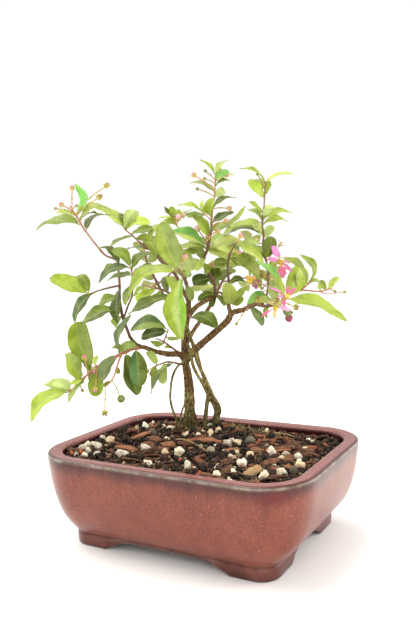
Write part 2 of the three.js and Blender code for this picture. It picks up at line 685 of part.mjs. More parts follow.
// A blade: a thick midrib and a real outline, folded along the rib, arched and waved.
function blade({ foot, axis, normal, length, width, arch, outline, stations, ...shape }) {
  const { wave = EDGE_WAVE, fold = FOLD, phase = 0 } = shape;
  const across = normal.clone().cross(axis).normalize();
  const points = [];
  const triangles = [];
  const rib = (s) =>
    foot.clone().addScaledVector(axis, s * length).addScaledVector(normal, 4 * arch * length * s * (1 - s));
  stations.forEach((s, i) => {
    const half = i === 0 ? PETIOLE_RADIUS : 0.5 * width * outline(s);
    const middle = rib(s);
    const thick = i === 0 ? PETIOLE_RADIUS : BLADE_THICKNESS / 2;
    for (const sign of [-1, 1]) {
      const ripple = wave * width * Math.sin(2 * Math.PI * WAVES * s + phase + sign);
      const lift = i === 0 ? 0 : fold * half + ripple;
      const edge = middle.clone().addScaledVector(across, sign * half).addScaledVector(normal, lift);
      const face = middle.clone().addScaledVector(normal, sign * thick);
      points.push(edge, face);
    }
    // order round the section: left edge, underside, right edge, upper side
    if (i > 0) triangles.push(...band((i - 1) * 4, i * 4, 4));
  });
  const last = (stations.length - 1) * 4;
  const tip = points.length;
  points.push(rib(1));
  triangles.push([0, 2, 1], [0, 3, 2]);
  for (let k = 0; k < 4; k++) triangles.push([last + k, last + ((k + 1) % 4), tip]);
  return solid(points, triangles);
}

function leaf(twigs, row) {
  const [twig, share, heading, lean, length, width, face, arch] = row;
  const { point } = along(twigs[twig].path, twigs[twig].radii, share);
  const axis = aim(heading, lean);
  const stations = length < SMALL_LEAF ? SMALL_LEAF_STATIONS : LEAF_STATIONS;
  return blade({
    foot: point,
    axis,
    normal: bladeNormal(axis, face),
    length,
    width,
    arch,
    outline: leafOutline,
    stations,
    phase: 2 * share + heading,
  });
}

// A spindle with a pointed end, for a bud, a fruit or a flower's heart: [share of its length, of its radius].
const SPINDLE_RINGS = [
  [0.22, 0.8],
  [0.62, 1],
];
function spindle(foot, axis, radius, length, sides) {
  const side = (Math.abs(axis.z) < 0.9 ? UP : ACROSS).clone();
  side.addScaledVector(axis, -side.dot(axis)).normalize();
  const other = axis.clone().cross(side);
  const points = [];
  for (const [share, width] of SPINDLE_RINGS) {
    for (let k = 0; k < sides; k++) {
      const angle = (2 * Math.PI * k) / sides;
      points.push(
        foot
          .clone()
          .addScaledVector(axis, share * length)
          .addScaledVector(side, width * radius * Math.cos(angle))
          .addScaledVector(other, width * radius * Math.sin(angle)),
      );
    }
  }
  points.push(foot.clone(), foot.clone().addScaledVector(axis, length));
  const triangles = band(0, sides, sides);
  for (let k = 0; k < sides; k++) {
    const next = (k + 1) % sides;
    triangles.push([next, k, 2 * sides], [sides + k, sides + next, 2 * sides + 1]);
  }
  return solid(points, triangles);
}

// A thin stalk from the twig, drooping a little, with its bud, calyx or fruit.
function budOnStalk(twigs, [twig, share, heading, lean, length, kind]) {
  const { point } = along(twigs[twig].path, twigs[twig].radii, share);
  const axis = aim(heading, lean);
  const { radius, length: budLength } = ON_STALK[kind];
  const reach = Math.max(length - budLength * 0.5, budLength * 0.5);
  const end = point.clone().addScaledVector(axis, reach);
  const pieces = [spindle(end.clone().addScaledVector(axis, -0.4), axis, radius, budLength, SIDES.bud)];
  if (reach > 2) pieces.push(tube([point, end], [STALK_RADIUS, STALK_RADIUS], SIDES.stalk));
  return union(pieces);
}

// Where each limb and each twig ends, by name, for the sprays that grow on from it
const ends = {};

// One spray: its twigs, leaves and buds in one solid.
function spray(name, { from, twigs, leaves, buds }) {
  const start = ends[from];
  const made = twigs.map(([firstRadius, lastRadius, rows], i) => {
    const path = rows.map(place);
    if (i === 0) path.unshift(start.tip.clone().addScaledVector(start.direction, GAP));
    const radii = path.map((_, k) => THREE.MathUtils.lerp(firstRadius, lastRadius, k / (path.length - 1)));
    ends[name + "." + i] = endOf(path);
    return { path, radii };
  });
  const pieces = made.map(({ path, radii }, i) =>
    tube(path, radii, SIDES.twig, { startDirection: i === 0 ? start.direction : undefined }),
  );
  leaves.forEach((row) => pieces.push(leaf(made, row)));
  buds.forEach((row) => pieces.push(budOnStalk(made, row)));
  return { body: union(pieces), twigs: made };
}

const TRUNK_TAPER = 0.6;
const TRUNK_FLUTE = 0.05;

// The plant's wood: trunk, limbs and aerial roots, grown as one piece.
function woodSolid(extraRadius = 0, only = null) {
  const pieces = [];
  for (const [name, row] of Object.entries({ ...LIMBS, ...ROOTS })) {
    if (only && !only.includes(name)) continue;
    const isTrunk = name === "trunk";
    const { path, radii } = smoothBranch(row, isTrunk ? 2 : 1, isTrunk ? TRUNK_TAPER : 1);
    const thick = radii.map((r) => r + extraRadius);
    pieces.push(tube(path, thick, isTrunk ? SIDES.trunk : SIDES.limb, { flute: isTrunk ? TRUNK_FLUTE : 0 }));
    ends[name] = endOf(path);
  }
  return union(pieces);
}

// A ring of the pot: a rounded rectangle at one height.
function roundedRing(halfX, halfY, radius, z) {
  const ring = [];
  for (let corner = 0; corner < 4; corner++) {
    const centreX = (corner === 0 || corner === 3 ? 1 : -1) * (halfX - radius);
    const centreY = (corner < 2 ? 1 : -1) * (halfY - radius);
    for (let k = 0; k <= CORNER_STEPS; k++) {
      const angle = (corner + k / CORNER_STEPS) * (Math.PI / 2);
      ring.push(new THREE.Vector3(centreX + radius * Math.cos(angle), centreY + radius * Math.sin(angle), z));
    }
  }
  return ring;
}

// A solid of rounded rings, closed at both ends.
function loft(rings) {
  const count = rings[0].length;
  const triangles = [];
  for (let i = 1; i < rings.length; i++) triangles.push(...band((i - 1) * count, i * count, count));
  const last = (rings.length - 1) * count;
  for (let k = 1; k < count - 1; k++) triangles.push([0, k + 1, k], [last, last + k, last + k + 1]);
  return solid(rings.flat(), triangles);
}

// The pot's ring at a height, inset from the lip by shares of the foot's inset and of a plain wall.
function potRing(share, wall, z) {
  const { halfLength, halfWidth, cornerRadius, footInsetLong, footInsetShort, footCornerRadius } = POT;
  const halfX = halfLength - share * footInsetLong - wall;
  const halfY = halfWidth - share * footInsetShort - wall;
  const radius = Math.max(cornerRadius - share * (cornerRadius - footCornerRadius) - wall, 6);
  return roundedRing(halfX, halfY, radius, z);
}

// The space inside the pot, kept clear of its wall and floor.
function interiorSolid(clearance, topZ) {
  const rings = INNER_PROFILE.map(([share, z], i) => {
    return potRing(share, POT.wall + clearance, i === 0 ? z + clearance : z);
  });
  rings.push(potRing(0, POT.lipWidth + clearance, LIP_UNDERSIDE));
  rings.push(potRing(0, POT.lipWidth + clearance, topZ));
  return loft(rings);
}

// The low arch between two feet, as a prism that runs right through the pot along Y, or along X.
function archPrism(halfSpan, taper, alongX) {
  const rise = POT.archRise;
  const depth = 4 * POT.halfLength;
  const shape = new THREE.Shape();
  shape.moveTo(-halfSpan, -1);
  shape.lineTo(halfSpan, -1);
  shape.quadraticCurveTo(halfSpan - taper * 0.5, rise * 0.9, halfSpan - taper, rise);
  shape.lineTo(-halfSpan + taper, rise);
  shape.quadraticCurveTo(-halfSpan + taper * 0.5, rise * 0.9, -halfSpan, -1);
  const geometry = new THREE.ExtrudeGeometry(shape, { depth, bevelEnabled: false, curveSegments: 4 });
  geometry.translate(0, 0, -depth / 2);
  geometry.rotateX(Math.PI / 2);
  if (alongX) geometry.rotateZ(Math.PI / 2);
  return fromGeometry(geometry);
}

function fromGeometry(geometry) {
  const bare = geometry.clone();
  bare.deleteAttribute("normal");
  bare.deleteAttribute("uv");
  const merged = mergeVertices(bare, 1e-4);
  return new wasm.Manifold(
    new wasm.Mesh({
      numProp: 3,
      vertProperties: merged.attributes.position.array,
      triVerts: new Uint32Array(merged.index.array),
    }),
  );
}

function potSolid() {
  const { footHeight, footWall, archHalfLong, archHalfShort, drainRadius, drainFromCentre } = POT;
  const outside = loft(OUTER_PROFILE.map(([share, z]) => potRing(share, 0, z)));
  const foot = loft([potRing(1.03, 0, 0), potRing(1.0, 0, 3), potRing(1.0, 0, footHeight + 0.5)]);
  const footInside = loft([potRing(1, footWall, -1), potRing(1, footWall, footHeight)]);
  let made = union([outside, foot]).subtract(footInside).subtract(interiorSolid(0, 2 * POT.height));
  made = made.subtract(archPrism(archHalfLong, POT.archTaperLong, false));
  made = made.subtract(archPrism(archHalfShort, POT.archTaperShort, true));
  for (const side of [-1, 1]) {
    const hole = new THREE.CylinderGeometry(drainRadius, drainRadius, 30, 16);
    hole.rotateX(Math.PI / 2);
    hole.translate(side * drainFromCentre[0], side * drainFromCentre[1], footHeight);
    made = made.subtract(fromGeometry(hole));
  }
  return made;
}

// Height of the soil: highest at the trunk, a little higher to the back right, with raised grains.
function soilHeight(x, y) {
  const distance = Math.hypot(x - TRUNK_FOOT[0], (y - TRUNK_FOOT[1]) * 1.1);
  const mound = SOIL.moundHeight * Math.exp(-((distance / SOIL.moundReach) ** 2));
  const tilt = SOIL.tilt[0] * x + SOIL.tilt[1] * y;
  const grain = Math.sin(x * 1.31 + 2 * Math.sin(y * 0.37)) * Math.sin(y * 1.17 + 2 * Math.sin(x * 0.29));
  return SOIL.edgeLevel + mound + tilt + SOIL.grainHeight * grain;
}

function soilSolid() {
  const { grainStep } = SOIL;
  const columns = Math.ceil((2 * (POT.halfLength - POT.lipWidth + SOIL.overlap)) / grainStep);
  const rows = Math.ceil((2 * (POT.halfWidth - POT.lipWidth + SOIL.overlap)) / grainStep);
  const points = [];
  const triangles = [];
  const at = (i, j) => i * (rows + 1) + j;
  for (let i = 0; i <= columns; i++) {
    for (let j = 0; j <= rows; j++) {
      const x = (i - columns / 2) * grainStep;
      const y = (j - rows / 2) * grainStep;
      points.push(new THREE.Vector3(x, y, soilHeight(x, y)));
    }
  }
  for (let i = 0; i < columns; i++) {
    for (let j = 0; j < rows; j++) {
      triangles.push([at(i, j), at(i + 1, j), at(i + 1, j + 1)], [at(i, j), at(i + 1, j + 1), at(i, j + 1)]);
    }
  }
  // the sides and the underside of the block
  const rim = [];
  for (let i = 0; i < columns; i++) rim.push(at(i, 0));
  for (let j = 0; j < rows; j++) rim.push(at(columns, j));
  for (let i = columns; i > 0; i--) rim.push(at(i, rows));
  for (let j = rows; j > 0; j--) rim.push(at(0, j));
  const low = points.length;
  rim.forEach((index) => points.push(points[index].clone().setZ(SOIL.low)));
  const centre = points.length;
  points.push(new THREE.Vector3(0, 0, SOIL.low));
  rim.forEach((index, k) => {
    const next = (k + 1) % rim.length;
    triangles.push([index, low + next, rim[next]], [index, low + k, low + next]);
    triangles.push([low + next, low + k, centre]);
  });
  const block = solid(points, triangles);
  const holes = woodSolid(ROOT_CLEARANCE, ["trunk", ...Object.keys(ROOTS)]);
  return block.intersect(interiorSolid(GAP, 2 * POT.height)).subtract(holes).simplify(SLIVER);
}

// A bloom: five clawed, crinkled petals round a yellow heart, on its own stalk.
function bloomSolid({ from, at, centre, facing, size, turn }) {
  const { twigs } = sprays[from];
  const { point, radius } = along(twigs[at[0]].path, twigs[at[0]].radii, at[1]);
  const heart = place(centre);
  const out = heart.clone().sub(point).normalize();
  const front = aim(facing[0], facing[1]);
  const side = front.clone().cross(UP).normalize();
  const up = side.clone().cross(front);
  const begin = point.clone().addScaledVector(out, radius + STALK_CLEARANCE);
  const middle = begin.clone().lerp(heart, 0.5).addScaledVector(UP, 1);
  const back = heart.clone().addScaledVector(front, -0.6);
  const pieces = [
    tube([begin, middle, back], [STALK_RADIUS, STALK_RADIUS, 0.6], SIDES.bloomStalk),
    spindle(heart.clone().addScaledVector(front, -1.6), front, HEART.radius, HEART.length, SIDES.heart),
  ];
  for (let k = 0; k < PETALS; k++) {
    const angle = THREE.MathUtils.degToRad(turn + (360 / PETALS) * k);
    const radial = side.clone().multiplyScalar(Math.cos(angle)).addScaledVector(up, Math.sin(angle));
    const axis = radial.clone().addScaledVector(front, 0.2 + 0.12 * Math.sin(2.1 * k)).normalize();
    const normal = front.clone().addScaledVector(axis, -front.dot(axis)).normalize();
    pieces.push(
      blade({
        foot: heart.clone().addScaledVector(front, 0.2),
        axis,
        normal,
        length: size * (0.96 + 0.08 * Math.sin(k * 1.9)),
        width: size * 0.95,
        arch: 0.03,
        outline: petalOutline,
        stations: PETAL_STATIONS,
        wave: 0.09,
        fold: -0.1,
        phase: k * 1.3,
      }),
    );
  }
  return union(pieces);
}

function meshOf(body, name, color, roughness = 0.6) {
  const { numProp, vertProperties, triVerts } = body.getMesh();
  const positions = new Float32Array((vertProperties.length / numProp) * 3);
  for (let i = 0; i < positions.length / 3; i++) {
    positions.set(vertProperties.subarray(i * numProp, i * numProp + 3), 3 * i);
  }
  const geometry = new THREE.BufferGeometry()
    .setAttribute("position", new THREE.BufferAttribute(positions, 3))
    .setIndex(new THREE.BufferAttribute(triVerts, 1));
  geometry.computeVertexNormals();
  const mesh = new THREE.Mesh(geometry, new THREE.MeshStandardMaterial({ color, roughness, metalness: 0 }));
  mesh.name = name;
  return mesh;
}

const object = new THREE.Group();
const group = new THREE.Group();
object.add(group);
const wood = woodSolid();
group.add(meshOf(potSolid(), "pot", 0xa4624f, 0.3));
group.add(meshOf(soilSolid(), "soil", 0x3a2a22, 0.95));
group.add(meshOf(wood, "wood", 0x7d6149, 0.8));

const sprays = {};
for (const [name, row] of Object.entries(SPRAYS)) {
  sprays[name] = spray(name, row);
  group.add(meshOf(sprays[name].body, "spray_" + name, LEAF_GREENS[row.green], 0.4));
}
for (const [name, row] of Object.entries(BLOOMS)) {
  group.add(meshOf(bloomSolid(row), "bloom_" + name, 0xdf8fb5, 0.5));
}

// The origin is below the middle of the whole object's box, on the surface it stands on.
const box = new THREE.Box3().setFromObject(group);
group.position.set(-(box.min.x + box.max.x) / 2, -(box.min.y + box.max.y) / 2, -box.min.z);

export default object;
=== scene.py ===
# Barbados cherry bonsai: its looks. Rows and sizes are in millimetres, and meshes are made in metres.
import math
import random

import bmesh
import bpy
import numpy as np
from mathutils import Matrix, Vector, kdtree, noise


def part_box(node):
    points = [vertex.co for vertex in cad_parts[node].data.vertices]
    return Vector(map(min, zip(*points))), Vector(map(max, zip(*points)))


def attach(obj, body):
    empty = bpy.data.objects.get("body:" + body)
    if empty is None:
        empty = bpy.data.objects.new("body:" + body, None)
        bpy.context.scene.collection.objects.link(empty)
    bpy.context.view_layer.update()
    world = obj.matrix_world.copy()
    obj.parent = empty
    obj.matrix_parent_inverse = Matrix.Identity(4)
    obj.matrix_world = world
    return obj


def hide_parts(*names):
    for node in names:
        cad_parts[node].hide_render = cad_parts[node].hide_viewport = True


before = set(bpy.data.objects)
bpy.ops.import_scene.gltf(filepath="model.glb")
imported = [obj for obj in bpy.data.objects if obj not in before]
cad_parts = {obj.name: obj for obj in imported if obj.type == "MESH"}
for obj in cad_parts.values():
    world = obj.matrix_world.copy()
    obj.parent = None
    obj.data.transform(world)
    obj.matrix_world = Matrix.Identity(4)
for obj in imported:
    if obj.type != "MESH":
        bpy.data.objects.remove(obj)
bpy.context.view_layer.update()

MM = 0.001
pot_low, pot_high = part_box("pot")
POT_CENTRE = np.array([(pot_low.x + pot_high.x) / 2, (pot_low.y + pot_high.y) / 2, 0.0]) / MM

# Pot: the part's own sizes
POT = {
    "half_length": 100, "half_width": 75, "corner": 35.5, "least_corner": 6, "lip": 11, "wall": 6,
    "foot_height": 9.5, "foot_inset_long": 22, "foot_inset_short": 16, "foot_wall": 9, "foot_corner": 14,
    "arch_half_long": 48, "arch_half_short": 27, "arch_rise": 7.5, "arch_bend": 24, "arch_bend_short": 15,
    "drain_radius": 6, "drains": [(38, 12), (-38, -12)],
}
CORNER_STEPS = 14
LONG_STEPS = 40
SHORT_STEPS = 30
DRAIN_SIDES = 40
DRAIN_CUT = (5.0, 25.0)

# The pot's wall as [share of the foot's inset, inset, height]: up the outside, over the lip and down inside
POT_OUTSIDE = [
    [1.0, 1.5, 9.3], [0.985, 0.2, 9.9], [0.94, 0, 11.5], [0.74, 0, 15.5], [0.5, 0, 22], [0.3, 0, 31],
    [0.15, 0, 42], [0.06, 0, 53], [0.015, 0, 59.5], [0.0, 0, 62.2],
]
POT_LIP = [
    [0, 0.05, 63.2], [0, 0.6, 64.4], [0, 1.9, 65], [0, 5.4, 65.0], [0, 8.6, 64.8], [0, 10.2, 64.2],
    [0, 10.9, 63.0], [0, 11, 61],
]
POT_INSIDE = [[0, 11, 58], [0.02, 10.4, 54], [0.2, 6, 40], [0.45, 6, 26], [0.85, 6, 17]]

# The feet and the skirt between them as [share, inset, climb from the arch's edge to the top, lift]
FOOT_LOOPS = [
    [1.0, POT["foot_wall"], 1.0, 0.6], [1.0, POT["foot_wall"], 0.5, 0.3],
    [1.0, POT["foot_wall"] - 0.5, 0, 0.06], [1.03, 0.9, 0, 0], [1.03, 0.15, 0, 0.7],
    [1.025, 0, 0, 2.2], [1.0, 0.1, 0.6, 0], [1.0, 0.6, 1.0, 0],
]

# Bands of the glaze as (middle, width): by height, by inset on the lip's edge, and by angle at a corner
# The pale band is thin glaze on the lip's rounded edge, with a painted highlight line on it.
PALE_HIGHLIGHT_BAND = (63.7, 0.65)
DEEP_BAND = (58, 4)
# The foot band darkens the wall's lower edge with the foot's dark glaze and painted shade.
FOOT_SHADE_BAND = (9.5, 1.6)
LIP_EDGE = (1.4, 0.6)
DEEP_CORNER = (-0.825, 0.07)
DRIP_FROM = 61.8

# Soil: the part's own mound, with a heap and a dip that are finer than the part's
SOIL = {
    "edge": 58.5, "mound": 5.2, "reach": 42, "tilt": (0.012, 0.01), "gap": 0.3,
    "heap": 3.2, "heap_at": (10, 26), "dip": 1.5,
}
BED_BELOW = 1.2
BED_LUMP = 0.9
BED_RINGS = 60

# The plant is laid out in its front view: across, up and toward the viewer, from the foot of the trunk
FRONT_AZIMUTH = math.radians(29.14)
TRUNK_FOOT = np.array([-32.0, 38.0, 0.0])
ACROSS = np.array([math.cos(FRONT_AZIMUTH), math.sin(FRONT_AZIMUTH), 0.0])
TOWARD = np.array([math.sin(FRONT_AZIMUTH), -math.cos(FRONT_AZIMUTH), 0.0])
UP = np.array([0.0, 0.0, 1.0])
VIEWER_ACROSS = 15.6
VIEWER_TOWARD = 531.3
VIEWER_UP = 198.1
VIEWER = TRUNK_FOOT + VIEWER_ACROSS * ACROSS + VIEWER_TOWARD * TOWARD + VIEWER_UP * UP

# Camera: its eye from the middle of the pot, its angles, and its lens and picture height in pixels
CAMERA = {"eye": (240.3, -418.5, 198.1), "elevation": 4.68, "roll": -2.01, "lens": 684.65, "tall": 624}
SENSOR = 36

# Tubes: how far a domed end reaches past a path, and how wide it is, in radii
DOME_REACH = 0.45
DOME_WIDTH = 0.7

# Leaves
BLADE_START = 0.07
BLADE_THICKNESS = 0.32
LEAST_HALF_WIDTH = 0.12
LEAF_ROWS = 34
LEAF_COLUMNS = 13
FOLD = 0.22
FOLD_ROUND = 0.02
EDGE_WAVE = 0.05
WAVES = 1.6
FINE_WAVES = 4.3
VEIN_PAIRS = 9
VEIN_SLANT = 0.17
RIB_HALF = 0.42
RIB_DEPTH = 0.16
VEIN_DEPTH = 0.07
MOST_SWAY = 0.05
MOST_DROP = 0.05
PETIOLE_RADIUS = 0.5
PETIOLE_TONE = (164, 168, 78)

# Petals
CLAW_HALF = 0.45
PETAL_THICKNESS = 0.2
PETAL_ROWS = 26
PETAL_COLUMNS = 15

# Upper and lower colour of a leaf, by the letters of its tone. One letter colours the whole blade. Two are
# its left and right half, seen from foot to tip, and a third between them is a band along the midrib.
# Two with > between them are its foot and its tip. The letters go from new (n, p) and yellow (y, u)
# over light (l, v, t), middle (m) and grey-green and teal (g, b, e) to dark (d, k, q). w is lighter than n
# and paints light on leaves that lie in shade, and n is also given to some shaded leaves as painted light.
# The grey-green and teal tones (g, b, e, t) are partly the leaf's own colour and partly a painted sheen,
# also where they colour one half of a blade.
TONES = {
    "n": ((229, 240, 134), (232, 240, 160)),
    "y": ((200, 218, 90), (212, 224, 122)),
    "l": ((180, 200, 74), (196, 212, 110)),
    "m": ((146, 166, 58), (172, 184, 98)),
    "d": ((105, 122, 38), (142, 154, 80)),
    "k": ((74, 94, 28), (106, 120, 56)),
    "g": ((178, 196, 112), (190, 202, 130)),
    "t": ((150, 224, 118), (190, 218, 124)),
    "b": ((110, 133, 88), (146, 160, 112)),
    "e": ((84, 138, 84), (112, 152, 100)),
    "v": ((156, 204, 76), (184, 214, 108)),
    "q": ((60, 80, 36), (92, 106, 60)),
    "w": ((246, 252, 158), (248, 252, 184)),
    "p": ((222, 236, 160), (226, 238, 172)),
    "u": ((182, 192, 92), (198, 204, 120)),
}

# Wood: [radius at its start, radius at its end, points in the front view as [across, up, toward]]
LIMBS = {
    "trunk": [6.2, 1.7, [
        [-1.6, 48.8, 0], [-1, 64, 0], [-1.5, 73.7, 0], [-1.4, 85.7, 0], [-1.4, 97.6, 0.5], [-2.5, 108.8, 1],
        [-3.6, 116.8, 1], [-3.4, 132.5, 1], [-1.9, 145, 0], [0, 155.2, -1], [0.8, 163.7, -1],
        [0.7, 170.3, -1],
    ]],
    "right_limb": [3, 1.8, [
        [-3.8, 116, 1.5], [4.4, 125.2, 6], [18, 136.5, 15], [30.9, 147.8, 22.5], [33.8, 152.8, 25.5],
        [38.9, 154.6, 27.8], [44.4, 155.5, 30],
    ]],
    "right_fork": [1.9, 1.4, [[33.4, 152.8, 24.8], [32, 157.2, 21], [31.7, 159.9, 18.8]]],
    "left_limb": [2.7, 1.4, [
        [-3.4, 116.7, 1.5], [-7.5, 122, 4.5], [-16.9, 122.8, 7.5], [-27.7, 125.5, 11.2], [-36.2, 129, 14.2],
        [-40.9, 128.3, 16],
    ]],
    "left_rise_stub": [1.6, 1.3, [[-34.7, 128.1, 13.5], [-41.5, 131.5, 10.5], [-46.4, 137.6, 7.9]]],
    "crown_limb": [2.2, 1.6, [
        [-0.6, 150.5, -1.5], [5.6, 158.1, -9], [14.3, 163.6, -21], [19.8, 165.8, -27.8], [22.5, 168, -31],
    ]],
    "fork_twig": [1.2, 0.9, [[32.7, 154.8, 21], [28.4, 165.9, -3], [25, 169.5, -15], [19.1, 166.2, -25.5]]],
    "upper_left_limb": [1.7, 1.1, [
        [0.8, 162.9, -1.5], [-4, 174, -10.5], [-9, 185, -19.5], [-16.4, 193.3, -27.6],
    ]],
    "inner_left_limb": [1.6, 1.2, [[-0.4, 155.2, -1.5], [-2.9, 161.5, -10.5], [-8.2, 166, -21.6]]],
    "back_right_limb": [1.9, 1.5, [
        [-2.9, 129.4, 0], [4.1, 140.9, -20.7], [13.2, 153.1, -39.1], [17.7, 160, -45.4],
    ]],
    "back_left_limb": [1.9, 1.5, [
        [-2.9, 134.9, 0], [-6.5, 147.6, -20.7], [-13.1, 158, -36.8], [-15.7, 162, -42],
    ]],
    "stub_left_upper": [1, 0.9, [[-4.4, 120.7, 2], [-6.7, 122.4, 6], [-8.5, 123.7, 7.6]]],
    "stub_left_lower": [0.9, 0.8, [[-3.1, 114.4, 2], [-7, 114.5, 6], [-9.7, 115.1, 8.6]]],
    "stub_right": [0.9, 0.8, [[-1.3, 152.9, 0], [-0.1, 152.2, 2], [1.1, 151.7, 3.7]]],
}
ROOTS = {
    "braid_a": [1.3, 1.7, [
        [-1.2, 144.2, 1], [2.9, 128.4, 5], [5.6, 116.4, 7], [9.9, 105.2, 8], [14.9, 91.5, 8],
        [19.8, 83.3, 6], [22, 76.9, 3], [20.2, 70.5, 0], [18.8, 56.1, -2],
    ]],
    "braid_b": [1.2, 1.6, [
        [-1, 129.3, 5], [0.4, 124.5, 7], [3, 111, 9], [9.6, 98, 9], [14, 88.3, 7], [18.4, 78.6, 5],
        [18.9, 70.6, 3], [16.9, 56.2, 2],
    ]],
    "braid_c": [1.1, 1.5, [
        [0.1, 137.1, 0], [5.9, 123.5, 4], [8.5, 110.8, 6], [13.6, 97.9, 8], [17.2, 88.2, 8],
        [20.4, 78.5, 5], [17.7, 70.6, -2], [19.2, 56.1, -5],
    ]],
    "leg": [1.5, 2, [[13.4, 93.1, 8], [12.7, 85.2, 7], [11.2, 75.6, 6], [10.1, 66.1, 6], [9.6, 53.2, 6]]],
    "left_root": [0.9, 1.1, [
        [-4.6, 116, 4], [-9.4, 113, 7], [-13.6, 106, 8], [-16, 94.2, 8], [-16.4, 86.2, 8], [-14.9, 78.2, 8],
        [-11.9, 68.5, 8], [-9.3, 53.9, 8],
    ]],
    "root_d": [0.7, 0.9, [
        [-2.5, 88.9, 3], [-5.1, 83.4, 6], [-8.6, 73.9, 7], [-9.6, 67.6, 8], [-10.9, 53.9, 9],
    ]],
    "root_e": [0.7, 0.9, [[-2.9, 77.7, 3], [-5.4, 73, 7], [-6.6, 62.6, 8], [-7.1, 49.8, 9]]],
}

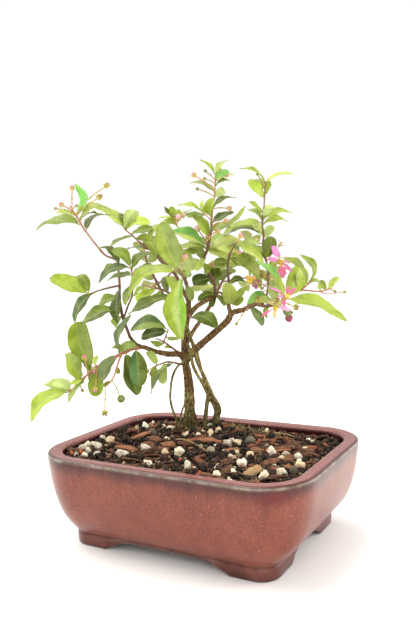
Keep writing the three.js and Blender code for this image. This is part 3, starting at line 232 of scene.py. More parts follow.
# Sprays. A twig is a row like a limb, and its first one starts where another branch ends.
# A leaf is [twig, share along it, heading, lean, length, width, face, arch, tone].
# A bud is [twig, share along it, heading, lean, reach, kind].
SPRAYS = {
    "left_rise": {"from": "left_rise_stub", "twigs": [
        [1.3, 0.9, [[-51.1, 153.8, 0], [-52.5, 166.4, -7.5], [-52.2, 178.8, -12]]],
        [0.8, 0.5, [[-52.3, 177.6, -10.5], [-61.4, 176, 0], [-66.9, 174.7, 6], [-76.3, 171.9, 15]]],
        [0.9, 0.5, [
            [-50.4, 151.5, 1.5], [-46.5, 161.5, -1.5], [-43.3, 168.4, -3], [-41.8, 180, 3],
            [-42.8, 191.6, 9],
        ]],
    ], "leaves": [
        [1, 1, 154, 12.5, 31, 15, 0.7, 0.07, "l"], [1, 1, 124, -25, 19, 9, 0.8, 0.25, "m"],
        [1, 0.82, -128, 2.5, 28, 14, 0.6, 0.14, "kb"], [0, 0.52, -160, 15, 35, 17, 0.5, 0.14, "dm"],
        [0, 0.93, -93, 37.5, 33, 16, 0.6, 0.07, "qk"], [0, 0.42, -130, -31.25, 14, 7, 1, 0.27, "y"],
        [0, 0.75, -162, -25, 22, 11, 0.7, 0.13, "m"], [2, 1, 133, -6.25, 20, 10, 0.8, 0.23, "m"],
        [2, 0.99, -159, 18.75, 27, 13, 0.5, 0.18, "b"], [2, 0.94, 39, -17.5, 22, 11, 0.6, 0.18, "d"],
        [2, 0.83, 34, -37.5, 21, 10, 0.6, -0.01, "d"], [2, 0.85, -170, -31.25, 26, 12, 0.3, 0.07, "d"],
        [2, 0.69, -111, 25, 19, 9, 0.7, 0.1, "g"],
    ], "buds": []},
    "far_left": {"from": "left_rise.0", "twigs": [
        [1, 0.5, [
            [-52.6, 189.7, -13.5], [-53.4, 196.7, -15], [-62.5, 201.6, -12], [-68.3, 208.7, -9],
            [-77.7, 222.1, -4.5], [-81.9, 229.9, -1.5], [-87.6, 240, 3],
        ]],
    ], "leaves": [
        [0, 0.78, -178, -15, 39, 19, 0.4, 0.15, "m"], [0, 0.89, 169, 31.25, 16, 8, 0.4, 0.06, "n"],
        [0, 0.89, 85, 12.5, 24, 12, 0.7, -0.3, "t"], [0, 0.82, 20, -12.5, 26, 12, 0.5, 0.31, "n"],
        [0, 0.71, 35, -37.5, 27, 13, 0.4, 0.2, "d"], [0, 0.83, 25, -43.75, 20, 9, 0.3, 0.15, "m"],
        [0, 0.49, -40, 25, 25, 12, 0.4, 0.24, "d"], [0, 0.19, -168, -25, 16, 8, 0.5, 0.16, "m"],
    ], "buds": [
        [0, 0.96, 85, 10, 17, "bud"], [0, 0.92, 144, 20, 12, "bud"], [0, 0.92, 165, 0, 15, "seed"],
        [0, 0.9, 44, -20, 35, "calyx"], [0, 0.88, 36, 10, 24, "calyx"], [0, 0.96, 44, -30, 5, "seed"],
    ]},
    "low_left": {"from": "left_limb", "twigs": [
        [1.1, 0.6, [
            [-47.2, 126.6, 19.5], [-58.4, 121.9, 25.5], [-68.1, 116.7, 30], [-73.6, 114.5, 31.5],
            [-81.8, 107.6, 33], [-90.9, 99.2, 36], [-95.8, 95.8, 37.5],
        ]],
        [0.8, 0.5, [
            [-52.8, 124.4, 22.5], [-56.3, 117, 27], [-59, 108.8, 30], [-61.6, 103.8, 31.5],
            [-66.5, 99.2, 33],
        ]],
    ], "leaves": [
        [0, 0.17, -76, 5, 34, 16, 0.7, -0.04, "md"], [0, 0.03, -86, 17.5, 29, 14, 1, 0.12, "de"],
        [0, 0.26, -126, 37.5, 27, 13, -0.7, 0.09, "b"], [0, 0.55, -93, 25, 23, 12, 1, -0.06, "l"],
        [0, 0.62, 105, 3.75, 37, 18, 0.9, -0.29, "lg"], [0, 0.79, 109, 37.5, 29, 14, 0.6, -0.02, "lg"],
        [0, 1, -145, 10, 35, 17, 0.6, 0.2, "l"], [0, 0.97, 167, -12.5, 16, 8, 1, 0.15, "gp"],
        [0, 0.96, 175, -35, 31, 15, 0.4, 0.05, "g"], [0, 0.76, -161, 31.25, 12, 6, 0.6, -0.06, "y"],
        [0, 0.75, -126, 37.5, 24, 12, 0.4, 0.01, "g"], [0, 0.67, 111, -25, 14, 7, 0.5, -0.1, "m"],
        [0, 0.58, 82, -37.5, 10, 5, 0.9, 0.23, "n"], [0, 0.62, -95, -37.5, 28, 14, 0.4, 0.1, "d"],
        [0, 0.25, 72, 18.75, 34, 16, 0.4, 0.14, "b"], [0, 0, -176, 32.5, 17, 8, 0.7, 0.34, "g"],
        [0, 0.19, 167, -25, 12, 6, 0.6, 0.34, "m"], [1, 0.82, -141, -31.25, 9, 4, -0.8, 0.13, "m"],
        [1, 0.41, -92, -37.5, 8, 4, 1, -0.18, "y"],
    ], "buds": [
        [0, 0.76, 123, -10, 21, "bud"], [0, 0.71, 93, 20, 15, "bud"], [0, 0.56, -120, 30, 4, "bud"],
        [0, 0.55, -95, 30, 19, "bud"], [0, 0.86, -59, 10, 6, "seed"], [1, 0.78, -65, 10, 16, "fruit"],
        [1, 1, -93, 15, 20, "calyx"],
    ]},
    "trunk_left_upper": {"from": "stub_left_upper", "twigs": [
        [0.9, 0.5, [[-14.3, 128.2, 15.6], [-19.6, 132.3, 20.8], [-25.8, 135.3, 26]]],
        [0.6, 0.4, [[-20, 132.6, 21.4], [-17.5, 137.7, 24.7], [-15.7, 142, 26]]],
    ], "leaves": [
        [1, 0.97, 178, 6.25, 28, 13, 0.7, 0.34, "gb"], [1, 0.85, -170, -15, 22, 11, 0.7, 0.02, "q"],
        [1, 0.42, 3, 6.25, 12, 6, 0.4, -0.22, "g"], [0, 0.66, 167, 25, 12, 6, 0.6, -0.23, "l"],
        [0, 0.34, 171, -25, 7, 3, 0.9, 0.12, "l"],
    ], "buds": []},
    "trunk_left_lower": {"from": "stub_left_lower", "twigs": [
        [0.8, 0.5, [[-17.9, 116.5, 16.9], [-22.7, 115.1, 19.5], [-27.4, 113.6, 22.1]]],
    ], "leaves": [
        [0, 0.27, -130, 18.75, 29, 14, 0.3, 0.13, "bg"], [0, 0.64, -100, -6.25, 17, 8, 0.9, 0, "p"],
        [0, 0.96, -120, -25, 11, 5, 1, -0.05, "u"], [0, 0.91, 125, -25, 14, 7, 0.8, -0.01, "g"],
    ], "buds": [
        [0, 1, -147, 10, 7, "seed"],
    ]},
    "inner_left": {"from": "inner_left_limb", "twigs": [
        [1.1, 0.5, [[-18.8, 173, -33], [-28.8, 175.6, -42], [-34.9, 178.2, -48]]],
    ], "leaves": [
        [0, 0.17, -161, 25, 40, 19, 0.4, 0.03, "d"], [0, 0.62, -155, -6.25, 20, 10, 0.8, -0.08, "y"],
        [0, 0.48, -127, -12.5, 11, 5, 0.9, -0.2, "l"], [0, 0.9, -142, -25, 18, 8, 0.5, 0.06, "m"],
        [0, 0.12, 112, -31.25, 21, 10, 0.6, 0.2, "y"], [0, 0.24, 116, -40, 18, 9, -0.7, -0.08, "k"],
    ], "buds": [
        [0, 0.54, 149, 20, 6, "bud"],
    ]},
    "upper_left": {"from": "upper_left_limb", "twigs": [
        [1, 0.5, [[-24.6, 201.8, -39], [-34.3, 209.5, -45], [-39.5, 214.6, -46.5], [-45.7, 220.2, -48]]],
    ], "leaves": [
        [0, 1, 142, 25, 35, 17, 0.4, 0.11, "n"], [0, 1, 128, -18.75, 24, 12, 0.3, 0.2, "d"],
        [0, 1, 60, -12.5, 19, 12, 1, 0.33, "pg"], [0, 1, 14, 18.75, 23, 11, 0.7, 0.21, "y"],
        [0, 0.89, 12, -10, 24, 11, 0.6, 0.06, "m"], [0, 0.79, -16, -31.25, 23, 11, 0.7, 0.12, "u"],
        [0, 0.85, -157, 25, 23, 11, 0.3, 0.05, "m"], [0, 0.44, 173, -37.5, 28, 13, 0.3, 0.09, "d"],
        [0, 0.37, -44, -18.75, 18, 9, 0.8, 0.03, "d"], [0, 0.5, 49, -25, 31, 15, 0.4, 0.22, "y"],
        [0, 0.37, 53, -35, 24, 12, -0.6, 0.12, "p"], [0, 0.26, 123, 15, 15, 7, 0.9, 0.15, "mu"],
    ], "buds": []},
    "crown_front": {"from": "trunk", "twigs": [
        [1.5, 0.7, [[-1, 179.3, 10.5], [-3.6, 184.1, 19.5], [-6.5, 188.8, 27]]],
    ], "leaves": [
        [0, 0.92, 109, 15, 38, 18, 0.9, 0.01, "lg"], [0, 0.71, -92, 17.5, 49, 23, 0.7, 0.16, "vpl"],
        [0, 0.97, -150, -2.5, 47, 23, 0.4, 0.23, "yl"], [0, 0.42, 65, 25, 10, 5, 0.8, 0.23, "g"],
        [0, 0.29, -75, 37.5, 15, 7, 0.8, 0.15, "g"],
    ], "buds": [
        [0, 0.86, 67, 20, 13, "bud"],
    ]},
    "inner_right": {"from": "crown_limb", "twigs": [
        [1.5, 0.9, [
            [21, 177, -33], [15.9, 187.3, -28.5], [13, 192.8, -24], [14.8, 198.9, -19.5],
            [16.9, 203.1, -16.5],
        ]],
    ], "leaves": [
        [0, 0.92, 179, 10, 24, 12, 0.4, 0.03, "n"], [0, 0.71, -172, 25, 21, 10, 1, 0.14, "p"],
        [0, 0.87, 152, -25, 24, 12, 0.6, 0.12, "u"], [0, 0.33, -171, -12.5, 17, 11, 1, 0.14, "k"],
        [0, 0.71, -65, -12.5, 10, 5, 1, 0.07, "m"], [0, 0.25, 84, -27.5, 16, 10, 1, -0.3, "d"],
        [0, 0.18, -178, 18.75, 23, 11, -0.5, -0.11, "n"], [0, 0.02, -164, 25, 17, 8, 0.7, 0.11, "k"],
        [0, 0.02, -112, 42.5, 14, 7, 0.7, -0.01, "d"], [0, 0.03, -55, 37.5, 15, 7, 0.7, 0.07, "d"],
        [0, 0.73, 113, -40, 24, 12, 0.6, 0.02, "m"], [0, 0.24, 28, -37.5, 27, 13, 0.6, 0.08, "d"],
        [0, 0.6, 4, -25, 34, 17, 0.3, -0.05, "m"], [0, 0.83, -124, 35, 15, 7, 0.9, 0.02, "n"],
    ], "buds": [
        [0, 0.55, 31, 10, 6, "bud"],
    ]},
    "top": {"from": "inner_right.0", "twigs": [
        [0.9, 0.45, [
            [20.1, 217.9, -12], [20.8, 226.3, -9], [21.9, 236.2, -6], [23.8, 244.5, -4.5],
            [24.3, 251.3, -1.5], [25, 259.7, 1.5],
        ]],
        [0.5, 0.4, [[20.7, 224.8, -9], [16.6, 229.5, 0], [12.9, 232.7, 7.5]]],
        [0.6, 0.4, [
            [17.8, 207.3, -14.7], [8.2, 209.9, -24], [-0.8, 216.4, -30], [-6.7, 223.5, -31.5],
            [-9.1, 231.2, -31.5],
        ]],
    ], "leaves": [
        [0, 1, 135, 18.75, 17, 8, 0.4, 0.1, "y"], [0, 1, 50, -12.5, 16, 8, 0.5, 0.14, "n"],
        [0, 0.96, 20, 25, 12, 6, 0.9, 0.28, "t"], [0, 0.92, 21, -18.75, 17, 8, 0.4, 0.07, "n"],
        [0, 0.78, 157, -12.5, 22, 10, 0.4, 0.11, "g"], [0, 0.85, 18, 18.75, 13, 6, 0.5, 0.21, "m"],
        [0, 0.71, 39, -31.25, 12, 7, 1, 0.15, "p"], [0, 0.56, 26, -6.25, 21, 10, 0.4, 0.16, "d"],
        [0, 0.44, 84, 37.5, 18, 9, 0.7, 0.2, "y"], [1, 0.55, 97, -25, 14, 7, 0.5, -0.15, "n"],
        [1, 0.65, 159, 12.5, 22, 11, 0.3, 0.12, "y"], [0, 0.14, 124, 27.5, 27, 13, 0.6, 0.1, "yl"],
        [1, 0.61, 171, -31.25, 19, 9, 0.6, -0.08, "m"], [0, 0.37, 27, -18.75, 21, 10, 0.6, 0.06, "d"],
        [0, 0.28, 35, 6.25, 33, 16, 0.3, -0.16, "y"], [0, 0.25, 15, -35, 21, 10, 0.6, 0.1, "u"],
        # The two leaves here in tone w are painted light: a lighter tone on leaves that lie in shade.
        [0, 0, 13, 17.5, 31, 15, 0.5, 0.11, "w"], [0, 0, 155, 25, 38, 18, 0.5, 0.15, "nt"],
        [0, 0, -21, 27.5, 30, 15, 0.8, 0.15, "w"], [0, 0.05, -21, -17.5, 38, 18, 0.3, -0.08, "d"],
        [0, 0.06, 144, -31.25, 21, 10, 0.5, 0.02, "m"], [0, 0.03, 178, -2.5, 22, 10, 0.5, 0.1, "n"],
        [0, 0.08, 38, -22.5, 15, 7, 0.9, -0.04, "p"], [2, 0.85, 103, 6.25, 13, 6, 1, -0.12, "l"],
        [2, 0.96, 127, 12.5, 11, 5, 0.6, -0.13, "d"], [2, 0.91, 174, 6.25, 13, 6, 0.3, 0.09, "n"],
        [2, 0.96, 35, -6.25, 8, 4, 1, 0.12, "y"], [2, 0.76, 173, -12.5, 16, 8, 0.6, 0.27, "l"],
        [2, 0.85, 38, -6.25, 17, 8, 0.3, 0.08, "m"],
    ], "buds": [
        [0, 0.79, 141, 5, 21, "bud"], [0, 0.93, 137, 20, 11, "seed"], [0, 0.89, 156, 25, 10, "seed"],
        [0, 0.72, 156, 15, 15, "seed"], [0, 0.96, 12, 20, 10, "bud"], [0, 1, 45, 30, 6, "seed"],
        [0, 0.56, 0, 0, 14, "bud"], [0, 0.33, 16, 25, 14, "bud"], [0, 0.2, 28, 30, 9, "bud"],
        [0, 0.13, 105, 35, 2, "bud"], [0, 0.06, 120, 15, 17, "opening"], [2, 0.8, 51, 15, 10, "bud"],
        [2, 0.79, 73, 20, 7, "opening"],
    ]},
    "trunk_right": {"from": "stub_right", "twigs": [
        [0.8, 0.6, [[4.5, 150.3, 12], [6, 149.5, 16.5]]],
    ], "leaves": [
        [0, 0.34, -20, 40, 26, 13, 0.7, 0.19, "d"],
    ], "buds": []},
    "upper_right": {"from": "right_fork", "twigs": [
        [1.3, 0.6, [
            [32.1, 169.6, 13.5], [32.4, 178.2, 7.5], [31.9, 189, 3], [34.1, 199, 6], [39, 207.3, 12],
        ]],
    ], "leaves": [
        [0, 0.98, -38, 18.75, 28, 14, 0.5, 0.08, "yn"], [0, 0.8, -13, 6.25, 17, 8, 0.8, -0.11, "m"],
        [0, 0.73, -43, 7.5, 33, 16, 0.6, 0.21, "u"], [0, 0.33, 10, -25, 14, 7, 0.7, 0.27, "k"],
        [0, 0.01, 95, 37.5, 21, 11, 1, 0.16, "u"], [0, 0.11, 32, 12.5, 17, 8, 0.6, -0.17, "m"],
        [0, 0.05, 14, -10, 12, 6, 0.8, -0.3, "u"], [0, 0.68, -178, 25, 12, 7, 1, 0.04, "d"],
        [0, 0.76, -13, 37.5, 20, 10, 0.7, -0.17, "m"], [0, 0.79, 148, -37.5, 15, 7, 0.8, 0.13, "n"],
    ], "buds": [
        [0, 0.96, 56, 10, 9, "bud"], [0, 0.81, 3, 30, 8, "bud"],
    ]},
    "right_arm": {"from": "right_limb", "twigs": [
        [1.6, 1, [[52.3, 159.2, 33], [59.7, 157.7, 37.5], [71.8, 158.9, 36]]],
        [1, 0.7, [
            [57.7, 158.1, 36.8], [61, 164.7, 27], [62.8, 171.7, 15], [63.1, 184.1, -3], [62, 193, -10.5],
        ]],
    ], "leaves": [
        [0, 0.06, 38, -6.25, 18, 10, 1, 0.12, "tl"], [0, 0.16, -57, 27.5, 18, 8, 0.8, 0.19, "b"],
        [1, 0.62, 134, -45, 21, 10, 0.6, 0, "u"], [1, 0.71, 24, -35, 17, 8, -0.7, 0.02, "m"],
        [0, 0.76, -109, 12.5, 10, 5, 0.6, 0.32, "m"], [1, 0.82, 36, -25, 15, 7, 0.8, 0.2, "l"],
        [0, 0.86, 160, -25, 14, 7, 0.8, 0.19, "n"], [0, 0.86, 98, -31.25, 16, 8, 0.9, 0.14, "p"],
    ], "buds": [
        [0, 0.17, -132, 30, 18, "seed"], [0, 0.92, -50, -28, 17, "ripe"], [1, 0.97, 51, 10, 14, "dried"],
        [0, 0.95, -34, -20, 13, "seed"], [0, 0.78, 46, 40, 7, "calyx"], [0, 0.5, 112, 30, 6, "calyx"],
        [1, 0.57, -140, 30, 8, "seed"], [1, 0.66, 146, 20, 6, "calyx"], [0, 0.97, 50, 30, 5, "seed"],
        [1, 0.38, -163, 20, 7, "seed"], [0, 0.62, 52, 50, 7, "seed"],
    ]},
    "top_right": {"from": "right_arm.1", "twigs": [
        [0.8, 0.45, [
            [59.8, 202.7, -16.5], [60.5, 213.5, -22.5], [59.8, 221.1, -22.5], [61.5, 234.8, -22.5],
            [62, 241.7, -21], [63.5, 253, -18],
        ]],
    ], "leaves": [
        [0, 1, 152, 12.5, 24, 11, 0.3, 0.15, "y"], [0, 1, 15, 12.5, 22, 11, 0.3, 0.11, "n"],
        [0, 0.81, 133, 25, 20, 9, 0.9, 0.03, "l"], [0, 0.9, 140, -37.5, 19, 9, 0.6, 0.19, "g"],
        [0, 0.85, 79, -12.5, 14, 7, 0.5, -0.2, "l"], [0, 0.63, 139, 18.75, 16, 8, 0.5, 0.01, "l"],
        [0, 0.54, 140, -12.5, 16, 8, 0.6, 0.18, "g"], [0, 0.57, 48, -12.5, 13, 7, 1, 0.26, "p"],
        [0, 0.55, 13, 18.75, 25, 12, 0.4, 0.14, "y"], [0, 0.49, 7, -12.5, 22, 11, 0.5, 0.21, "y"],
        [0, 0.35, 125, -25, 14, 7, 1, 0.06, "p"], [0, 0.32, 50, -18.75, 14, 7, 1, 0.05, "p"],
        [0, 0.52, -163, -10, 38, 18, 0.3, 0.12, "l"], [0, 0.39, -173, -25, 38, 18, 0.3, 0.19, "d"],
        [0, 0.25, -178, 0, 24, 11, 0.5, 0.05, "p"], [0, 0.04, 73, 10, 18, 11, 1, 0.12, "d"],
        [0, 0.05, 154, -15, 20, 9, 0.7, 0.02, "d"],
    ], "buds": [
        [0, 0.9, 112, -10, 15, "seed"],
    ]},
    "far_right": {"from": "right_arm.0", "twigs": [
        [1, 0.5, [
            [77.4, 164.1, 31.5], [82.9, 167.8, 27], [89.9, 168.8, 22.5], [103.9, 167.6, 15],
            [112.1, 169.9, 9],
        ]],
        [0.6, 0.4, [[87.6, 168.5, 24], [93.1, 172.9, 33], [97.1, 177.4, 39]]],
        [0.5, 0.4, [[102.3, 167.7, 16.5], [109.3, 165.4, 9], [118.6, 166.2, 0]]],
    ], "leaves": [
        [0, 0.08, 121, -15, 37, 18, 0.4, 0.14, "y>t"], [0, 0.17, 58, -31.25, 31, 15, 1, -0.03, "lpy"],
        [1, 0.78, 107, 12.5, 22, 10, 0.6, 0.31, "m"], [1, 0.65, 133, 6.25, 29, 14, 0.4, 0.17, "u"],
        [1, 0.65, -2, -12.5, 10, 5, 0.5, 0.34, "u"], [0, 0.89, 119, -18.75, 9, 5, 1, 0.12, "l"],
        [0, 0.93, 51, 12.5, 12, 6, 0.7, 0.1, "n"], [0, 0.14, -22, 15, 47, 22, 0.4, 0.08, "y"],
        [0, 0.36, 86, -47.5, 26, 12, 0.5, 0.06, "m"], [0, 0.79, 109, 25, 7, 4, 0.8, 0, "y"],
    ], "buds": [
        [0, 0.04, -58, -5, 9, "fruit"], [0, 0.04, -19, 15, 12, "calyx"], [2, 1, 4, 0, 4, "seed"],
        [0, 0.95, -25, 10, 5, "seed"],
    ]},
    "back_right": {"from": "back_right_limb", "twigs": [
        [1.4, 0.6, [
            [23.9, 171.5, -52.9], [30.5, 182.9, -59.8], [40.2, 195.7, -66.7], [49.8, 204.6, -71.3],
        ]],
        [0.8, 0.5, [[27.2, 177.6, -56.3], [44.4, 180.1, -66.7], [58.4, 181.1, -71.3]]],
    ], "leaves": [
        [0, 0.11, 135, -45, 23, 11, -0.8, 0.12, "d"], [0, 0.28, 131, -32.5, 22, 11, -0.8, 0.1, "m"],
        [0, 0.47, 135, -50, 26, 12, -0.7, 0.1, "u"], [0, 0.58, 112, -38.75, 24, 12, -0.7, 0.1, "m"],
        [0, 0.76, 112, -45, 24, 12, -0.7, 0.1, "d"], [0, 0.8, -21, -50, 26, 12, -0.6, 0.1, "m"],
        [0, 0.92, -8, -32.5, 21, 10, -0.8, 0.1, "m"], [0, 1, 38, -38.75, 17, 8, -0.9, 0.1, "m"],
        [0, 0.98, 108, -50, 24, 12, -0.5, 0.1, "u"], [1, 0.36, -43, -45, 23, 11, -0.6, 0.1, "u"],
        [1, 0.61, -34, -32.5, 20, 10, -0.8, 0.1, "u"], [1, 0.71, 50, -50, 26, 13, -0.6, 0.1, "m"],
        [1, 0.98, 14, -38.75, 24, 12, -0.7, 0.1, "u"], [1, 1, -47, -50, 27, 13, -0.6, 0.1, "m"],
    ], "buds": [
        [0, 1, 43, -20, 8, "bud"], [1, 1, -13, -20, 10, "bud"],
    ]},
    "back_left": {"from": "back_left_limb", "twigs": [
        [1.4, 0.6, [
            [-20.3, 173, -50.6], [-26, 184.9, -57.5], [-30.3, 195.1, -63.2], [-32.2, 204.4, -66.7],
        ]],
        [0.8, 0.5, [[-22.5, 177.8, -52.9], [-11.2, 186.7, -64.4], [-4.7, 194.2, -71.3]]],
    ], "leaves": [
        [0, 0.14, -168, -38.75, 18, 8, -0.9, 0.12, "m"], [0, 0.38, -163, -50, 25, 12, -0.6, 0.1, "u"],
        [0, 0.51, 163, -38.75, 20, 10, -0.9, 0.1, "m"], [0, 0.72, 139, -50, 26, 12, -0.6, 0.1, "d"],
        [0, 0.8, 35, -32.5, 17, 8, -0.9, 0.1, "m"], [0, 0.93, 138, -45, 21, 10, -0.7, 0.1, "u"],
        [0, 1, 58, -38.75, 18, 9, -0.8, 0.1, "m"], [1, 0.43, -64, -45, 20, 10, -0.8, 0.1, "u"],
        [1, 0.69, -23, -32.5, 18, 9, -0.9, 0.1, "l"], [1, 0.93, 28, -45, 19, 9, -0.9, 0.1, "m"],
        [1, 1, 101, -38.75, 21, 10, -0.8, 0.1, "m"], [1, 0.77, 135, -50, 19, 9, -0.8, 0.1, "m"],
    ], "buds": [
        [0, 1, 123, -20, 8, "bud"], [1, 1, 57, -20, 11, "bud"],
    ]},
}

# Blooms: the spray and place they grow from, the heart, the way they face, the reach of the stamens
# and the petals. A petal is [heading, lean, length, width, face, tone].
BLOOMS = {
    "upper": {
        "from": "right_arm", "at": [1, 0.7], "centre": [72.6, 191.5, 26],
        "facing": [-30, 50], "stamens": 2.6, "petals": [
            [112, 15, 13.2, 5.2, 0.9, "rose"], [160, 25, 9.7, 3.8, 0.85, "rose"],
            [15, 20, 9, 5.5, 0.9, "pale"], [-42, 30, 12.1, 3.2, 0.8, "rose"],
            [-81, 20, 11.9, 6.3, 0.9, "hot"],
        ],
    },
    "middle": {
        "from": "right_arm", "at": [0, 0.95], "centre": [76.6, 164.2, 55],
        "facing": [40, 62], "stamens": 1.2, "petals": [
            [171, 30, 7.3, 3.5, 0.7, "rose"], [77, -10, 7.6, 2.9, 0.8, "deep"],
            [43, 10, 8.7, 3.2, 0.75, "hot"], [-114, 35, 7.4, 2.8, 0.7, "hot"],
            [147, -15, 13.3, 2.2, 0.6, "rose"],
        ],
    },
    "lower": {
        "from": "right_arm", "at": [0, 0.8], "centre": [68.6, 156.6, 50],
        "facing": [-120, 50], "stamens": 1.4, "petals": [
            [-148, 0, 12.5, 2.2, 0.8, "hot"], [-10, 10, 9.8, 4.9, 0.85, "pale"],
            [-107, 40, 9.6, 2.8, 0.6, "straw"], [139, 30, 8.6, 3.2, 0.7, "straw"],
            [54, 50, 9.4, 3.2, 0.6, "straw"],
        ],
    },
    "inner": {
        "from": "right_arm", "at": [1, 0.45], "centre": [50.1, 177.9, 26],
        "facing": [150, 55], "stamens": 1.6, "petals": [
            [132, 20, 5.3, 3.2, 0.8, "gold"], [-56, 25, 7.3, 4.4, 0.85, "old"],
            [-138, 10, 5, 2.7, 0.7, "straw"], [45, 30, 4.8, 3, 0.7, "gold"], [-3, 0, 6.7, 3.1, 0.7, "old"],
        ],
    },
}

# How the wood is made: its taper and flare, its mesh, where it is old and mossy, and its relief
TRUNK_TAPER = 0.6
TRUNK_FLARE = {"size": 2.6, "height": 58, "reach": 7.0}
WOOD_SIDES = 14
WOOD_VOXEL = 0.42
OLD_BELOW = 160
MOSS_BELOW = 88
ROOT_SHARE = 0.85
RIDGE_DEPTH = 0.11
KNOB_DEPTH = 0.05

# Twig colours, where a twig is thick and where it is young: the usual pair, and those of some sprays
USUAL_TWIG = ((104, 74, 52), (176, 130, 90))
TWIG_TONES = {
    "far_right": ((128, 80, 60), (178, 118, 90)),
    "far_left": ((150, 104, 78), (184, 130, 98)),
    "top": ((96, 70, 46), (190, 150, 90)),
    "top_right": ((86, 62, 44), (138, 102, 68)),
    "low_left": ((184, 122, 94), (200, 136, 102)),
    "left_rise": ((84, 60, 44), (132, 96, 70)),
    "upper_right": ((84, 60, 44), (124, 112, 62)),
    "inner_right": ((84, 60, 44), (130, 94, 68)),
    "trunk_left_upper": ((92, 68, 42), (112, 82, 50)),
    "trunk_left_lower": ((92, 68, 42), (112, 82, 50)),
}
TWIG_SIDES = 9
NODE_SWELL = 0.35
SPRAY_OVERLAP = 0.8

# Kinds of bud: its length, its stalk's colour, its head's place on the axis, radii, rows, columns, lobes
# and their depth, its colours, and how far its sepals spread. A dried one has a stalk and stamens only.
BUDS = {
    "bud": {
        "length": 4.2, "stalk": (206, 150, 104), "head": (1.9, (1.8, 1.65), 10, 15, 5, 0.09),
        "tones": [(226, 152, 160), (214, 136, 150), (234, 172, 176), (206, 118, 132)], "spread": 1.75,
    },
    "opening": {
        "length": 5.2, "stalk": (206, 150, 104), "head": (2.4, (2.6, 2.2), 12, 20, 5, 0.22),
        "tones": [(244, 188, 196), (236, 166, 182)], "spread": 2.0,
    },
    "calyx": {
        "length": 3.6, "stalk": (190, 160, 84), "head": (1.2, (1.5, 1.4), 8, 10, 0, 0.0),
        "tones": [(176, 160, 66)], "spread": 2.1,
    },
    "fruit": {
        "length": 6.0, "stalk": (164, 164, 84), "head": (2.4, (2.9, 3.0), 12, 18, 3, 0.05),
        "tones": [(122, 132, 60)], "spread": 1.6,
    },
    "ripe": {
        "length": 6.0, "stalk": (206, 132, 84), "head": (2.4, (2.9, 3.0), 12, 18, 3, 0.05),
        "tones": [(150, 62, 84)], "spread": 1.6,
    },
    "seed": {
        "length": 2.4, "stalk": (188, 152, 98), "head": (1.0, (1.4, 1.25), 8, 10, 5, 0.1),
        "tones": [(124, 128, 54), (152, 144, 72), (100, 104, 46), (168, 150, 82)], "spread": None,
    },
    "dried": {"length": 1.0, "stalk": (186, 146, 70)},
}
STALK_RADII = (0.42, 0.5)
JOINTED_STALK = 9
JOINT_TONE = (150, 152, 70)
SEPALS = 5
SEPAL_TONE = (174, 168, 76)
GLAND_TURN = 0.28
GLAND_TONE = (196, 186, 84)

# A petal's colour at its limb and at its claw, by its tone
PETAL_TONES = {
    "rose": ((240, 150, 206), (214, 96, 158)),
    "pale": ((246, 196, 226), (226, 140, 186)),
    "hot": ((240, 112, 162), (228, 110, 120)),
    "deep": ((222, 100, 140), (206, 90, 110)),
    "old": ((176, 84, 108), (150, 92, 70)),
    "gold": ((238, 186, 70), (196, 176, 70)),
    "straw": ((214, 208, 116), (176, 178, 80)),
}

# Loose pieces on the soil that can be told apart: [x, y, size]. A chip is [x, y, length, turn in the
# front view], and may have its tip and its roll after that. A root has points [x, y, lift], and a
# tuft of moss is [x, y, spread, number of blades, height].
PUMICE = [
    [-82, -36, 6.4], [-83, -29, 6.8], [-74, -38.5, 5.6], [-75.5, -26.5, 7.2], [-66, -40, 5.6],
    [-70.5, -47, 5], [-77, -49, 4.6], [-75, -12, 7], [-84, -9, 5], [-76, 25, 5.2], [-74, 34, 7.1],
    [-40, -16, 7.9], [-47, -34, 9.2], [-22, -18, 5.6], [-11, -17, 8.4], [-11, -42, 4.4], [-19, -42, 4.7],
    [9, -39, 7.2], [-46, 28, 6.8], [-27, 18, 3.6], [-17, 21, 4.6], [-11, 30, 5.8], [-7, 35, 6.3],
    [11, 15, 6.7], [18, 19, 7.1], [39, -5, 6.8], [40, 21, 4.4], [49, 9, 7.8], [61, -3, 6.4], [60, 8, 5.7],
    [42, -22, 7.5], [39, -31, 4.3], [29, -34, 5.1], [35, -48, 6], [65, -40, 7.6], [73, -30, 7.6],
    [70, 4, 6.7], [79, -13, 7.3], [6, 7, 4.1], [29, -10, 3.6],
]
GREY_STONES = [
    [-53, 14, 7.7], [8, -5, 6.9], [79, -24, 6.8], [24, 26, 8.3], [-3, 1, 4.7],
]
DARK_STONES = [
    [-80, 10, 9.6], [-64, 43, 5.7], [-24, 24, 7.6], [-80, 20, 4.6], [22, -40, 6.5], [50, 23, 5.3],
    [17, -50, 5.6],
]
LAVA = [
    [-74, -10, 3.9], [-63, -26, 2.5], [-3, -28, 4.2], [30, 29, 4.5], [-6, 45, 4.1], [25, -52, 4.1],
    [72, 32, 3.4], [-30, 21, 3],
]
BARK_CHIPS = [
    [-60, 5, 18.3, 8], [-4, 14, 18.4, -4], [-21, -7, 9.4, 5], [-31, -43, 17.8, 12], [-54, -20, 19, -28],
    [-37, -1, 12.9, -10], [37, -38, 11.2, 30], [48, -43, 10.9, -10], [58, -11, 12.9, 10],
    [13, -28, 13.2, 60], [72, 12, 14, 0], [70, 28, 9.2, -30], [-26, -29, 12.2, 15], [25, 42, 9.9, 15],
    [4, 39, 11.6, 5],
]
WOOD_CHIPS = [[55, -37, 14, 8, -28, 55]]
DRY_ROOTS = [
    [[-29, 5, 2], [-21, 5, 3], [-11, 2, 3], [-1, -3, 2.5], [7, -7, 1.5]],
    [[22, 52, 2], [35, 50, 3], [44, 49, 3], [52, 47, 2]],
]
